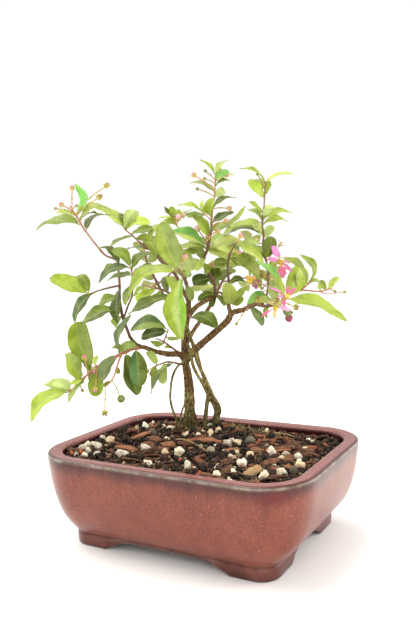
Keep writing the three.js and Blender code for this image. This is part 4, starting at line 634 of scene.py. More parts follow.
MOSS_TUFTS = [
    [-8, 56, 8, 90, 4], [12, 55, 9, 100, 4], [32, 50, 8, 70, 4], [-32, 34, 6, 160, 3],
    [-24, 30, 5, 90, 3], [-40, 40, 6, 90, 3], [60, -50, 5, 30, 3],
]
MOSS_TONES = [(176, 152, 96), (146, 128, 74), (196, 174, 124), (112, 100, 52)]
FIBRE_TONES = [(150, 112, 76), (186, 150, 106), (112, 74, 50)]
PUMICE_TONES = [(240, 224, 192), (228, 204, 166), (246, 234, 208), (216, 190, 150), (236, 222, 198)]
STONE_TONES = [(106, 100, 82), (124, 116, 98), (86, 80, 64), (144, 134, 112)]
LUMP_TONES = [(40, 27, 19), (30, 20, 14), (56, 38, 26), (48, 35, 24), (72, 44, 30), (38, 28, 20)]
LAVA_TONES = [(166, 74, 40), (146, 56, 34), (184, 98, 56)]
BARK_TONES = [(104, 56, 38), (82, 42, 30), (120, 70, 46), (60, 32, 24), (138, 90, 62), (70, 42, 30)]
GRIT_TONES = [
    (46, 30, 20), (58, 36, 24), (34, 22, 16), (80, 50, 34), (50, 38, 26), (112, 76, 50), (160, 134, 100),
    (92, 48, 30),
]

# How the loose pieces are made and scattered
FLATS = 5
OVERLAP = 0.75
TRIES = 12
TRUNK_CLEAR = 9
CHIP_ROWS = 11
CHIP_COLUMNS = 6
CHIP_REACH = 0.28
FIBRES = 90
FIBRE_STEP = 2.2

# Lights. A panel is its name, place, watts, size in metres and colour. The key light is far off and wide.
PANELS = [
    ("left_panel", (-1150, -250, 650), 5, 1.0, (1.0, 0.99, 0.97)),
    ("right_panel", (950, 550, 550), 8, 0.8, (1.0, 0.985, 0.96)),
    ("front_panel", (650, -1050, 650), 6, 1.2, (1.0, 0.995, 0.98)),
]
KEY = {"from": (-0.35, -0.3, 0.88), "strength": 2.5, "spread": 50, "colour": (1.0, 0.985, 0.95)}
LIT_HEIGHT = 110
SKY_LIGHT = 0.85
SKY_SEEN = 1.05
FLOOR_HALF = 3.0


# Plain geometry


def linear(colour):
    """Screen colours, 0 to 255, as the linear numbers that the renderer uses."""
    share = np.asarray(colour, float) / 255
    return np.where(share <= 0.04045, share / 12.92, ((share + 0.055) / 1.055) ** 2.4)


def unit(vector):
    return vector / np.linalg.norm(vector)


def soft_step(low, high, value):
    """0 below low, 1 above high, smooth between."""
    t = np.clip((np.asarray(value, float) - low) / (high - low), 0, 1)
    return t * t * (3 - 2 * t)


def bell(value, middle, width):
    """1 at the middle, falling to near 0 at twice the width from it."""
    return np.exp(-(((value - middle) / width) ** 2))


def clamp(value):
    return min(max(value, 0), 1)


def way_round(side, other, angle):
    """A direction turned by an angle from side toward other."""
    return side * math.cos(angle) + other * math.sin(angle)


def grid(rows, columns, closed=False):
    """Quads over rows x columns of points. closed joins the last column to the first."""
    wide = columns if closed else columns - 1
    i, j = np.meshgrid(np.arange(rows - 1), np.arange(wide), indexing="ij")
    here = i * columns + j
    beside = i * columns + (j + 1) % columns
    return np.stack([here, here + columns, beside + columns, beside], -1).reshape(-1, 4)


def plate(upper, lower):
    """A thin closed form between two grids of points, its upper side facing rows x columns."""
    rows, columns = upper.shape[:2]
    size = rows * columns
    top = grid(rows, columns)
    rim = np.concatenate([
        np.arange(rows) * columns,
        (rows - 1) * columns + np.arange(1, columns),
        np.arange(rows - 2, -1, -1) * columns + columns - 1,
        np.arange(columns - 2, 0, -1),
    ])
    after = np.roll(rim, -1)
    side = np.stack([after, rim, rim + size, after + size], -1)
    points = np.concatenate([upper.reshape(-1, 3), lower.reshape(-1, 3)])
    return points, [top, top[:, ::-1] + size, side]


def fan(ring, centre, outward):
    """Triangles from a ring of indices to one point, turned over unless outward."""
    after = np.roll(ring, -1)
    triangles = np.stack([ring, after, np.full(len(ring), centre)], -1)
    return triangles if outward else triangles[:, ::-1]


def rings(loops):
    """A closed form through loops of points, each loop seen turning left from the last one's side."""
    loops = np.asarray(loops)
    rows, columns = loops.shape[:2]
    points = np.concatenate([loops.reshape(-1, 3), loops[0].mean(0)[None], loops[-1].mean(0)[None]])
    first = np.arange(columns)
    last = first + (rows - 1) * columns
    size = rows * columns
    sides = grid(rows, columns, closed=True)[:, ::-1]
    return points, [sides, fan(first, size, False), fan(last, size + 1, True)]


def catmull(rows, per_row):
    """Points along a smooth curve through rows, the same curve that the part uses."""
    rows = np.asarray(rows, float)
    ends = np.concatenate([[2 * rows[0] - rows[1]], rows, [2 * rows[-1] - rows[-2]]])
    points = []
    for i in range(len(rows) - 1):
        before, start, end, after = ends[i : i + 4]
        pairs = ((before, start), (start, end), (end, after))
        gaps = [max(np.linalg.norm(b - a), 1e-6) ** 0.5 for a, b in pairs]
        leave = (start - before) / gaps[0] - (end - before) / (gaps[0] + gaps[1]) + (end - start) / gaps[1]
        arrive = (end - start) / gaps[1] - (after - start) / (gaps[1] + gaps[2]) + (after - end) / gaps[2]
        leave, arrive = leave * gaps[1], arrive * gaps[1]
        for k in range(per_row):
            t = k / per_row
            points.append(
                start + leave * t
                + (3 * end - 3 * start - 2 * leave - arrive) * t**2
                + (2 * start - 2 * end + leave + arrive) * t**3
            )
    points.append(rows[-1])
    return np.array(points)


def frames(path):
    """Two directions square to a path at each point, turning as little as they can."""
    directions = np.gradient(path, axis=0)
    directions /= np.linalg.norm(directions, axis=1)[:, None]
    side = UP if abs(directions[0][2]) < 0.9 else ACROSS
    sides = []
    for direction in directions:
        side = unit(side - direction * (side @ direction))
        sides.append(side)
    sides = np.array(sides)
    return directions, sides, np.cross(directions, sides)


def tube(path, radii, sides):
    """A closed tube through points, with domed ends."""
    path = np.asarray(path, float)
    radii = np.asarray(radii, float)
    directions, first, second = frames(path)
    before = path[0] - directions[0] * radii[0] * DOME_REACH
    beyond = path[-1] + directions[-1] * radii[-1] * DOME_REACH
    path = np.concatenate([[before], path, [beyond]])
    radii = np.concatenate([[radii[0] * DOME_WIDTH], radii, [radii[-1] * DOME_WIDTH]])
    first = np.concatenate([first[:1], first, first[-1:]])
    second = np.concatenate([second[:1], second, second[-1:]])
    angle = np.linspace(0, 2 * math.pi, sides, endpoint=False)[None, :, None]
    around = first[:, None] * np.cos(angle) + second[:, None] * np.sin(angle)
    return rings(path[:, None] + radii[:, None, None] * around)


def ball(centre, radii, axis=UP, rows=8, columns=10, lobes=0, depth=0.0):
    """An ellipsoid along axis, radii = (along, around), with lobes pressed round it."""
    axis = unit(np.asarray(axis, float))
    side = unit(np.cross(axis, ACROSS if abs(axis @ ACROSS) < 0.9 else UP))
    other = np.cross(axis, side)
    turn = np.linspace(-math.pi / 2, math.pi / 2, rows + 2)[1:-1][:, None, None]
    angle = np.linspace(0, 2 * math.pi, columns, endpoint=False)[None, :, None]
    around = radii[1] * (1 + depth * np.cos(lobes * angle)) * np.cos(turn)
    loops = centre + axis * radii[0] * np.sin(turn) + around * (side * np.cos(angle) + other * np.sin(angle))
    points, faces = rings(loops)
    points[-2:] = centre - axis * radii[0], centre + axis * radii[0]
    return points, faces


class Shape:
    """Gathers closed forms into one mesh, with a colour and named numbers at each point."""

    def __init__(self):
        self.points, self.faces, self.tints, self.values = [], [], [], {}
        self.count = 0

    def add(self, form, tint=(255, 255, 255), **values):
        points, faces = form
        size = len(points)
        self.points.append(np.asarray(points, float))
        self.faces += [face + self.count for face in faces]
        self.tints.append(np.broadcast_to(np.asarray(tint, float), (size, 3)))
        for key, value in values.items():
            self.values.setdefault(key, []).append(np.broadcast_to(np.asarray(value, float), (size,)))
        self.count += size

    def make(self, name, material, slot, *nodes, smooth=True):
        """The mesh as a piece that rides on the part, stands for its nodes and takes a material. The slot is
        not used.
        """
        mesh = bpy.data.meshes.new(name)
        points = (np.concatenate(self.points) + POT_CENTRE) * MM
        corners = np.concatenate([face.reshape(-1) for face in self.faces])
        counts = np.concatenate([np.full(len(face), face.shape[1]) for face in self.faces])
        mesh.vertices.add(len(points))
        mesh.vertices.foreach_set("co", points.astype(np.float32).ravel())
        mesh.loops.add(len(corners))
        mesh.loops.foreach_set("vertex_index", corners.astype(np.int32))
        mesh.polygons.add(len(counts))
        mesh.polygons.foreach_set("loop_start", (np.cumsum(counts) - counts).astype(np.int32))
        mesh.update(calc_edges=True)
        mesh.validate()
        colours = linear(np.concatenate(self.tints))
        colours = np.column_stack([colours, np.ones(len(colours))])
        tint = mesh.attributes.new("tint", "FLOAT_COLOR", "POINT")
        tint.data.foreach_set("color", colours.astype(np.float32).ravel())
        for key, parts in self.values.items():
            add_values(mesh, key, np.concatenate(parts))
        if smooth:
            mesh.shade_smooth()
        else:
            mesh.shade_flat()
        mesh.materials.append(material)
        piece = add_object(name, mesh)
        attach(piece, "root")
        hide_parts(*nodes)
        return piece


def add_values(mesh, key, values):
    """A named number at each point of a mesh, for its material."""
    attribute = mesh.attributes.new(key, "FLOAT", "POINT")
    attribute.data.foreach_set("value", np.array(values, np.float32))


def add_object(name, data):
    """A new object in the scene for a mesh, a lamp or a camera."""
    made = bpy.data.objects.new(name, data)
    bpy.context.scene.collection.objects.link(made)
    return made


def apply_modifiers(piece):
    evaluated = piece.evaluated_get(bpy.context.evaluated_depsgraph_get())
    mesh = bpy.data.meshes.new_from_object(evaluated)
    piece.modifiers.clear()
    piece.data = mesh


# Materials


class Look:
    """A material of nodes. node() adds one, and an input may be a value or another node's output."""

    def __init__(self, name, **shader):
        self.material = bpy.data.materials.new(name)
        self.material.use_nodes = True
        self.tree = self.material.node_tree
        self.shader = self.tree.nodes["Principled BSDF"]
        for socket, value in shader.items():
            self.shader.inputs[socket.replace("_", " ")].default_value = value
        self.place = self.node("ShaderNodeTexCoord").outputs["Object"]

    def feed(self, socket, value):
        """A socket takes a value, or is linked if the value is another node's output."""
        if isinstance(value, bpy.types.NodeSocket):
            self.tree.links.new(value, socket)
        else:
            socket.default_value = value

    def node(self, kind, inputs=None, **settings):
        made = self.tree.nodes.new(kind)
        for key, value in settings.items():
            setattr(made, key, value)
        for key, value in (inputs or {}).items():
            self.feed(made.inputs[key], value)
        return made

    def noise(self, scale, detail=4, stretch=(1, 1, 1), roughness=0.55):
        spot = self.node("ShaderNodeMapping", {"Vector": self.place, "Scale": stretch}).outputs[0]
        inputs = {"Vector": spot, "Scale": scale, "Detail": detail, "Roughness": roughness}
        return self.node("ShaderNodeTexNoise", inputs).outputs["Fac"]

    def cells(self, scale):
        inputs = {"Vector": self.place, "Scale": scale}
        return self.node("ShaderNodeTexVoronoi", inputs, feature="F1").outputs["Distance"]

    def range(self, value, low, high, to_low=0.0, to_high=1.0):
        names = {"From Min": low, "From Max": high, "To Min": to_low, "To Max": to_high}
        return self.node("ShaderNodeMapRange", {"Value": value, **names}).outputs["Result"]

    def math(self, operation, first, second=0.0):
        return self.node("ShaderNodeMath", {0: first, 1: second}, operation=operation).outputs[0]

    def mix(self, share, first, second, blend="MIX"):
        """One colour over another. A colour is an output, or a screen colour."""
        made = self.node("ShaderNodeMix", data_type="RGBA", blend_type=blend)
        self.feed(made.inputs[0], share)
        for index, colour in ((6, first), (7, second)):
            if isinstance(colour, tuple):
                colour = (*linear(colour), 1)
            self.feed(made.inputs[index], colour)
        return made.outputs[2]

    def ramp(self, value, stops):
        """Colours between stops, each (share, screen colour)."""
        made = self.node("ShaderNodeValToRGB", {"Fac": value})
        elements = made.color_ramp.elements
        while len(elements) < len(stops):
            elements.new(0.5)
        for element, (share, colour) in zip(elements, stops):
            element.position = share
            element.color = (*linear(colour), 1)
        return made.outputs["Color"]

    def value(self, name):
        return self.node("ShaderNodeAttribute", attribute_name=name).outputs["Fac"]

    def marked(self, name, share):
        """A share of one of the mesh's named numbers."""
        return self.math("MULTIPLY", self.value(name), share)

    def tint(self):
        return self.node("ShaderNodeAttribute", attribute_name="tint").outputs["Color"]

    def wire(self, socket, output):
        self.tree.links.new(output, self.shader.inputs[socket])

    def finish(self, colour, roughness, height, distance, strength):
        """Wires the colour, the roughness and a bump. Its height is 0 to 1, and 1 is a distance in metres."""
        self.wire("Base Color", colour)
        self.wire("Roughness", roughness)
        inputs = {"Height": height, "Distance": distance, "Strength": strength}
        self.wire("Normal", self.node("ShaderNodeBump", inputs).outputs["Normal"])
        return self.material

    def glow(self, share, colour):
        """Lets light through from behind, for a share of the surface."""
        light = self.node("ShaderNodeBsdfTranslucent", {"Color": colour}).outputs[0]
        both = self.node("ShaderNodeMixShader", {0: share, 1: self.shader.outputs[0], 2: light})
        self.tree.links.new(both.outputs[0], self.tree.nodes["Material Output"].inputs["Surface"])


def glaze_look():
    look = Look("oxblood_glaze", Specular_IOR_Level=0.3, Coat_Weight=0.3, Coat_Roughness=0.07)
    fine = look.noise(1500, 5, (1, 1, 0.45), 0.7)
    broad = look.noise(95, 4, (1, 1, 0.6))
    streak = look.noise(420, 3, (1, 1, 0.07))
    pore = look.cells(620)
    body = look.ramp(fine, [
        (0.3, (54, 18, 11)), (0.46, (110, 47, 30)), (0.59, (138, 66, 45)), (0.76, (186, 108, 78)),
    ])
    body = look.mix(look.range(streak, 0.35, 0.65, 0, 0.5), body, (104, 42, 30))
    body = look.mix(look.range(broad, 0.35, 0.7, 0.0, 0.4), body, (146, 76, 54))
    body = look.mix(look.range(pore, 0.0, 0.16, 0.55, 0.0), body, (58, 26, 22))
    body = look.mix(look.marked("dark", look.range(streak, 0.25, 0.65, 0.75, 1.0)), body, (58, 6, 4))
    body = look.mix(look.marked("deep", look.range(streak, 0.3, 0.6, 0.6, 1.0)), body, (100, 2, 4))
    # The feet: their own dark glaze, with painted shade that deepens toward the floor.
    foot = look.mix(look.range(broad, 0.35, 0.65), (50, 22, 20), (92, 50, 42))
    body = look.mix(look.value("foot"), body, foot)
    # Pale glaze: thin glaze on the lip's edge with a painted highlight line, and a painted highlight line
    # round the top of the feet.
    pale = look.mix(look.range(broad, 0.4, 0.6), (106, 98, 80), (158, 152, 138))
    body = look.mix(look.marked("pale", look.range(look.noise(260, 4), 0.25, 0.6, 0.45, 1.0)), body, pale)
    spots = look.range(look.cells(260), 0.07, 0.05)
    specks_and_foot_shade = look.math("MULTIPLY", spots, look.range(look.noise(60, 2), 0.56, 0.62))
    body = look.mix(specks_and_foot_shade, body, (228, 214, 204))
    wear = look.noise(700, 5)
    rim = look.ramp(wear, [(0.3, (104, 44, 42)), (0.55, (140, 80, 72)), (0.75, (166, 112, 102))])
    body = look.mix(look.value("top"), body, rim)
    runs = look.noise(240, 4, (1, 1, 0.3))
    inside = look.ramp(runs, [(0.35, (40, 8, 12)), (0.6, (66, 16, 20)), (0.8, (96, 50, 60))])
    body = look.mix(look.value("inside"), body, inside)
    grain = look.math("MULTIPLY", look.noise(900, 4), 0.6)
    height = look.math("ADD", grain, look.range(pore, 0.0, 0.14, -0.5, 0.0))
    return look.finish(body, look.range(fine, 0.3, 0.7, 0.24, 0.42), height, 0.0002, 0.6)


def leaf_look():
    look = Look("glossy_leaf", Specular_IOR_Level=0.28)
    blotch = look.noise(110, 4)
    grain = look.noise(520, 3)
    colour = look.mix(look.range(blotch, 0.42, 0.7, 0, 0.4), look.tint(), (112, 132, 60), "MULTIPLY")
    colour = look.mix(look.range(blotch, 0.55, 0.3, 0, 0.25), colour, (206, 216, 124))
    colour = look.mix(look.range(grain, 0.4, 0.7, 0, 0.15), colour, (70, 96, 34))
    colour = look.mix(look.marked("vein", 0.6), colour, (200, 206, 128))
    colour = look.mix(look.marked("edge", 0.25), colour, (176, 184, 96))
    look.glow(0.36, look.mix(0.4, colour, (190, 210, 70)))
    return look.finish(colour, look.range(grain, 0.3, 0.7, 0.36, 0.5), grain, 0.00006, 0.5)


def bark_look():
    look = Look("ridged_bark", Specular_IOR_Level=0.25)
    ridge = look.noise(1100, 6, (1, 1, 0.3), 0.65)
    patch = look.noise(160, 4, (1, 1, 0.5))
    old = look.ramp(ridge, [
        (0.34, (28, 19, 11)), (0.46, (88, 64, 38)), (0.58, (126, 94, 54)), (0.72, (186, 156, 98)),
    ])
    young = look.ramp(ridge, [(0.3, (74, 46, 32)), (0.55, (122, 86, 58)), (0.8, (164, 126, 92))])
    colour = look.mix(look.value("age"), young, old)
    root = look.ramp(ridge, [
        (0.34, (34, 28, 12)), (0.46, (100, 86, 44)), (0.58, (150, 138, 86)), (0.72, (208, 200, 154)),
    ])
    colour = look.mix(look.value("root"), colour, root)
    colour = look.mix(look.range(patch, 0.5, 0.72, 0, 0.4), colour, (104, 92, 48))
    crusts = look.range(look.noise(520, 3), 0.62, 0.68)
    lichen = look.math("MULTIPLY", crusts, look.range(patch, 0.45, 0.6))
    colour = look.mix(lichen, colour, (196, 188, 142))
    moss = look.ramp(ridge, [(0.37, (20, 18, 7)), (0.54, (62, 58, 20)), (0.72, (108, 112, 40))])
    mossy = look.marked("moss", look.range(look.noise(420, 5), 0.35, 0.58, 0.3, 0.95))
    colour = look.mix(mossy, colour, moss)
    return look.finish(colour, look.range(ridge, 0.3, 0.7, 0.9, 0.68), ridge, 0.0005, 0.8)


def twig_look():
    look = Look("young_twig", Specular_IOR_Level=0.35)
    grain = look.noise(1600, 4, (1, 1, 0.5))
    colour = look.mix(look.range(grain, 0.35, 0.7, 0, 0.35), look.tint(), (176, 130, 98))
    colour = look.mix(look.range(grain, 0.5, 0.3, 0, 0.5), colour, (74, 40, 30))
    colour = look.mix(look.range(look.cells(900), 0.0, 0.2, 0.6, 0), colour, (190, 168, 134))
    return look.finish(colour, look.range(grain, 0.3, 0.7, 0.5, 0.72), grain, 0.00015, 0.6)


def speckled_look(name, roughness, contrast, scale=1500, bump=0.00012, specular=0.4):
    """The tint of each form, with light and dark grain over it."""
    look = Look(name, Specular_IOR_Level=specular)
    grain = look.noise(scale, 5)
    colour = look.mix(look.range(grain, 0.5, 0.8, 0, contrast), look.tint(), (255, 250, 236))
    colour = look.mix(look.range(grain, 0.5, 0.22, 0, contrast * 1.4), colour, (30, 20, 14), "MULTIPLY")
    shine = look.range(grain, 0.3, 0.7, roughness - 0.1, min(roughness + 0.1, 1))
    return look.finish(colour, shine, grain, bump, 0.7)


def petal_look():
    look = Look("crinkled_petal", Specular_IOR_Level=0.25)
    line = look.noise(900, 4)
    colour = look.mix(look.range(line, 0.4, 0.7, 0, 0.35), look.tint(), (250, 226, 240))
    colour = look.mix(look.marked("vein", 0.4), colour, (206, 84, 148))
    look.glow(0.3, look.mix(0.3, colour, (255, 220, 240)))
    return look.finish(colour, look.range(line, 0.3, 0.7, 0.55, 0.7), line, 0.0002, 0.6)


def chip_look():
    look = Look("wood_chip", Specular_IOR_Level=0.3)
    fibre = look.noise(900, 5, (0.25, 1, 1), 0.7)
    colour = look.mix(look.range(fibre, 0.45, 0.75, 0, 0.5), look.tint(), (196, 150, 108))
    colour = look.mix(look.range(fibre, 0.5, 0.25, 0, 0.7), colour, (38, 20, 14))
    return look.finish(colour, look.range(fibre, 0.3, 0.7, 0.7, 0.9), fibre, 0.0004, 0.8)


# Camera


def add_camera():
    """Stands where the photograph was taken from, in the frame of the pot."""
    elevation = math.radians(CAMERA["elevation"])
    roll = math.radians(CAMERA["roll"])
    back = TOWARD * math.cos(elevation) + UP * math.sin(elevation)
    level_up = np.cross(back, ACROSS)
    right = way_round(ACROSS, level_up, roll)
    up = -ACROSS * math.sin(roll) + level_up * math.cos(roll)
    data = bpy.data.cameras.new("camera")
    data.sensor_width = SENSOR
    data.lens = SENSOR * CAMERA["lens"] / CAMERA["tall"]
    data.clip_start = 0.01
    camera = add_object("camera", data)
    turn = Matrix(np.column_stack([right, up, back]).tolist()).to_4x4()
    camera.matrix_world = Matrix.Translation(Vector((CAMERA["eye"] + POT_CENTRE) * MM)) @ turn
    bpy.context.scene.camera = camera


# Pot


def pot_ring(share, wall, height):
    """A rounded rectangle of the pot, inset by a share of the foot's inset and by a plain wall."""
    half_x = POT["half_length"] - share * POT["foot_inset_long"] - wall
    half_y = POT["half_width"] - share * POT["foot_inset_short"] - wall
    radius = POT["corner"] - share * (POT["corner"] - POT["foot_corner"]) - wall
    radius = max(radius, POT["least_corner"])

    def at(corner, quarters):
        """The point of a corner's arc at an angle in quarter turns."""
        sign_x = 1 if corner in (0, 3) else -1
        sign_y = 1 if corner < 2 else -1
        centre = np.array([sign_x * (half_x - radius), sign_y * (half_y - radius)])
        angle = quarters * math.pi / 2
        return centre + radius * np.array([math.cos(angle), math.sin(angle)])

    ring = []
    for corner in range(4):
        ring += [at(corner, corner + k / CORNER_STEPS) for k in range(CORNER_STEPS + 1)]
        start = ring[-1]
        target = at((corner + 1) % 4, corner + 1)
        steps = LONG_STEPS if corner in (0, 2) else SHORT_STEPS
        ring += [start + (target - start) * k / steps for k in range(1, steps)]
    ring = np.array(ring)
    return np.column_stack([ring, np.full(len(ring), float(height))])


def pot_marks(loops, profile):
    """How much of each glaze colour each point of the pot takes. The pale mark also paints a highlight line,
    and the foot mark shade.
    """
    height = loops[..., 2]
    wall = profile[:, 1][:, None] + 0 * height
    outer = (np.arange(len(profile)) < len(profile) - len(POT_INSIDE))[:, None] & (wall < 3)
    angle = np.arctan2(loops[..., 1] / POT["half_width"], loops[..., 0] / POT["half_length"])
    drip = 0.5 + 0.5 * np.sin(angle * 31) * np.sin(angle * 17 + 1)
    below = (DRIP_FROM - height) / (3.5 + 4 * drip)
    under_lip = np.exp(-np.abs(below) ** 2.2) * (0.85 + 0.15 * drip)
    above = bell(wall, *LIP_EDGE) * (height > 64)
    deep = bell(height, *DEEP_BAND) * bell(angle, *DEEP_CORNER) * (0.8 + 0.5 * drip)
    inner = soft_step(10.3, 11.0, wall)
    marks = {
        # pale: thin glaze on the lip's edge with a painted highlight line
        "pale": np.where(outer, bell(height, *PALE_HIGHLIGHT_BAND) * 0.9, 0),
        "dark": np.where(outer, np.clip(under_lip + 0.8 * above, 0, 1), 0),
        "deep": np.where(outer, np.clip(deep, 0, 1), 0),
        "top": np.where(height > 62, soft_step(1.2, 3.2, wall) * (1 - inner), 0),
        "inside": (inner + (wall == POT["wall"])).clip(0, 1),
        # foot: the foot's dark glaze along the wall's lower edge, with painted shade
        "foot": 0.7 * bell(height, *FOOT_SHADE_BAND),
    }
    return {key: np.concatenate([values.ravel(), [0, 0]]) for key, values in marks.items()}


def foot_form():
    """The four feet and the thin skirt between them, as one ring with arches in its lower edge."""
    outer = pot_ring(1.0, 0, 0)
    x, y = np.abs(outer[:, 0]), np.abs(outer[:, 1])
    on_long = y > POT["half_width"] - POT["foot_inset_short"] - 1
    into = np.where(on_long, POT["arch_half_long"] - x, POT["arch_half_short"] - y)
    taper = np.where(on_long, POT["arch_bend"], POT["arch_bend_short"])
    edge = POT["arch_rise"] * (1 - (1 - (into / taper).clip(0, 1)) ** 1.8)
    top = POT["foot_height"] + 1.0
    loops = []
    for share, wall, climb, lift in FOOT_LOOPS:
        height = np.minimum(edge + (top - edge) * climb + lift, top)
        loops.append(pot_ring(share, wall, 0) + UP * height[:, None])
    loops = np.array(loops)
    rows, columns = loops.shape[:2]
    faces = grid(rows, columns, closed=True)
    first = np.arange(columns)
    last = first + (rows - 1) * columns
    lid = np.stack([last, first, np.roll(first, -1), np.roll(last, -1)], -1)
    return loops.reshape(-1, 3), [faces[:, ::-1], lid[:, ::-1]]


def add_pot(material):
    profile = np.array([*catmull(POT_OUTSIDE, 5), *catmull(POT_LIP, 4), *POT_INSIDE])
    loops = np.array([pot_ring(share, wall, height) for share, wall, height in profile])
    pot = Shape()
    pot.add(rings(loops), **pot_marks(loops, profile))
    points, faces = foot_form()
    height = points[:, 2]
    # A painted highlight line round the top of the feet.
    pale = 0.35 * bell(height, 8.3, 0.7)
    # The feet darken toward the floor: their own dark glaze with painted shade.
    specks_and_foot_shade = 0.55 + 0.45 * bell(height, 0, 2.5)
    pot.add((points, faces), pale=pale, dark=0.0, deep=0.0, top=0.0, inside=0.0, foot=specks_and_foot_shade)
    piece = pot.make("pot_glazed", material, "glaze", "pot")
    for x, y in POT["drains"]:
        cut_drain(piece, x, y)


def cut_drain(piece, x, y):
    """A round drain hole through the floor."""
    angle = np.linspace(0, 2 * math.pi, DRAIN_SIDES, endpoint=False)
    circle = np.column_stack([np.cos(angle), np.sin(angle), 0 * angle]) * POT["drain_radius"] + [x, y, 0]
    points, faces = rings([circle + UP * height for height in DRAIN_CUT])
    mesh = bpy.data.meshes.new("drain")
    corners = [face.tolist() for group in faces for face in group]
    mesh.from_pydata(((points + POT_CENTRE) * MM).tolist(), [], corners)
    tool = add_object("drain", mesh)
    cut = piece.modifiers.new("drain", "BOOLEAN")
    cut.object = tool
    cut.operation = "DIFFERENCE"
    apply_modifiers(piece)
    bpy.data.objects.remove(tool)


# Soil


def soil_height(x, y):
    distance = np.hypot(x - TRUNK_FOOT[0], (y - TRUNK_FOOT[1]) * 1.1)
    mound = SOIL["mound"] * bell(distance, 0, SOIL["reach"])
    heap = SOIL["heap"] * bell(x + POT["half_length"], *SOIL["heap_at"]) * soft_step(40, 0, y)
    dip = SOIL["dip"] * soft_step(35, 62, y) * soft_step(-20, -60, x)
    return SOIL["edge"] + mound + SOIL["tilt"][0] * x + SOIL["tilt"][1] * y + heap - dip


def add_soil_bed(material):
    """The bed under the grit: one closed form of the pot's inside."""
    wall, lip = POT["wall"] + SOIL["gap"], POT["lip"] + SOIL["gap"]
    below = ((0.85, wall, 17.3), (0.45, wall, 26), (0.2, wall, 40), (0, lip, 55))
    loops = [pot_ring(*row) for row in below]
    rim = pot_ring(0, lip, 0)
    for share in np.linspace(1, 0.02, BED_RINGS):
        ring = rim * [share, share, 0]
        lump = [noise.fractal(Vector((p[0] * 0.3, p[1] * 0.3, 2.0)), 1.0, 2.0, 4) for p in ring]
        ring[:, 2] = soil_height(ring[:, 0], ring[:, 1]) - BED_BELOW + BED_LUMP * np.array(lump)
        loops.append(ring)
    bed = Shape()
    bed.add(rings(loops), (52, 36, 26))
    bed.make("soil_bed", material, "soil", "soil")


def round_lump(level):
    """A ball of radius 1, as points and triangles."""
    shape = bmesh.new()
    bmesh.ops.create_icosphere(shape, subdivisions=level, radius=1)
    shape.verts.index_update()
    points = np.array([corner.co[:] for corner in shape.verts])
    faces = np.array([[corner.index for corner in face.verts] for face in shape.faces])
    shape.free()
    return points, faces


def any_way(rng):
    return [rng.gauss(0, 1) for _ in range(3)]


def stone_kinds(rng, count, level, rough):
    """Rough lumps of radius 1 with flats cut on them, as points and triangles."""
    kinds = []
    for k in range(count):
        points, faces = round_lump(level)
        shift = Vector((rng.uniform(0, 50), rng.uniform(0, 50), k * 7.0))
        swell = [1 + rough * noise.fractal(Vector(p) * 1.3 + shift, 0.9, 2.0, 3) for p in points]
        points = points * np.array(swell)[:, None]
        for _ in range(FLATS):
            facing = unit(np.array(any_way(rng)))
            reach = points @ facing
            points -= facing * np.maximum(reach - rng.uniform(0.55, 0.85), 0)[:, None]
        kinds.append((points, faces))
    return kinds


def turned(points, rng, size, squash):
    """Points scaled and turned any way, for one loose piece."""
    angle = rng.uniform(0, 2 * math.pi)
    turn = Matrix.Rotation(angle, 3, Vector(any_way(rng)).normalized())
    return (points * np.array(squash) * size) @ np.array(turn)


def inside_pot(x, y, margin):
    """True if a place lies inside the lip by a margin."""
    half_x = POT["half_length"] - POT["lip"] - margin
    half_y = POT["half_width"] - POT["lip"] - margin
    radius = POT["corner"] - POT["lip"] - margin
    dx = max(abs(x) - (half_x - radius), 0)
    dy = max(abs(y) - (half_y - radius), 0)
    return math.hypot(dx, dy) < radius and abs(x) < half_x and abs(y) < half_y


class Scatter:
    """Remembers what lies where, so that loose pieces don't pile on one spot."""

    def __init__(self):
        self.taken = []

    def free(self, x, y, radius):
        return all((x - a) ** 2 + (y - b) ** 2 > (OVERLAP * (radius + r)) ** 2 for a, b, r in self.taken)

    def take(self, x, y, radius):
        self.taken.append((x, y, radius))

    def spots(self, rng, count, sizes, margin):
        """Up to count free places, each (x, y, radius)."""
        found = []
        for _ in range(count * TRIES):
            if len(found) == count:
                break
            x = rng.uniform(-POT["half_length"], POT["half_length"])
            y = rng.uniform(-POT["half_width"], POT["half_width"])
            radius = rng.uniform(*sizes)
            if inside_pot(x, y, margin + radius) and self.free(x, y, radius):
                self.take(x, y, radius)
                found.append((x, y, radius))
        return found


def add_stones(name, rows, kinds, tones, material, rng, squash=0.8, sunk=0.25, smooth=True):
    """Loose stones, one for each row (x, y, radius)."""
    stones = Shape()
    for x, y, radius in rows:
        points, faces = rng.choice(kinds)
        flat = (1, rng.uniform(squash, 1), rng.uniform(squash, 1))
        points = turned(points, rng, radius, flat)
        points = points + [x, y, soil_height(x, y) + radius * (1 - 2 * sunk)]
        shade = rng.uniform(0.85, 1.12)
        stones.add((points, [faces]), np.clip(np.array(rng.choice(tones)) * shade, 0, 255))
    stones.make(name, material, "soil", "soil", smooth=smooth)


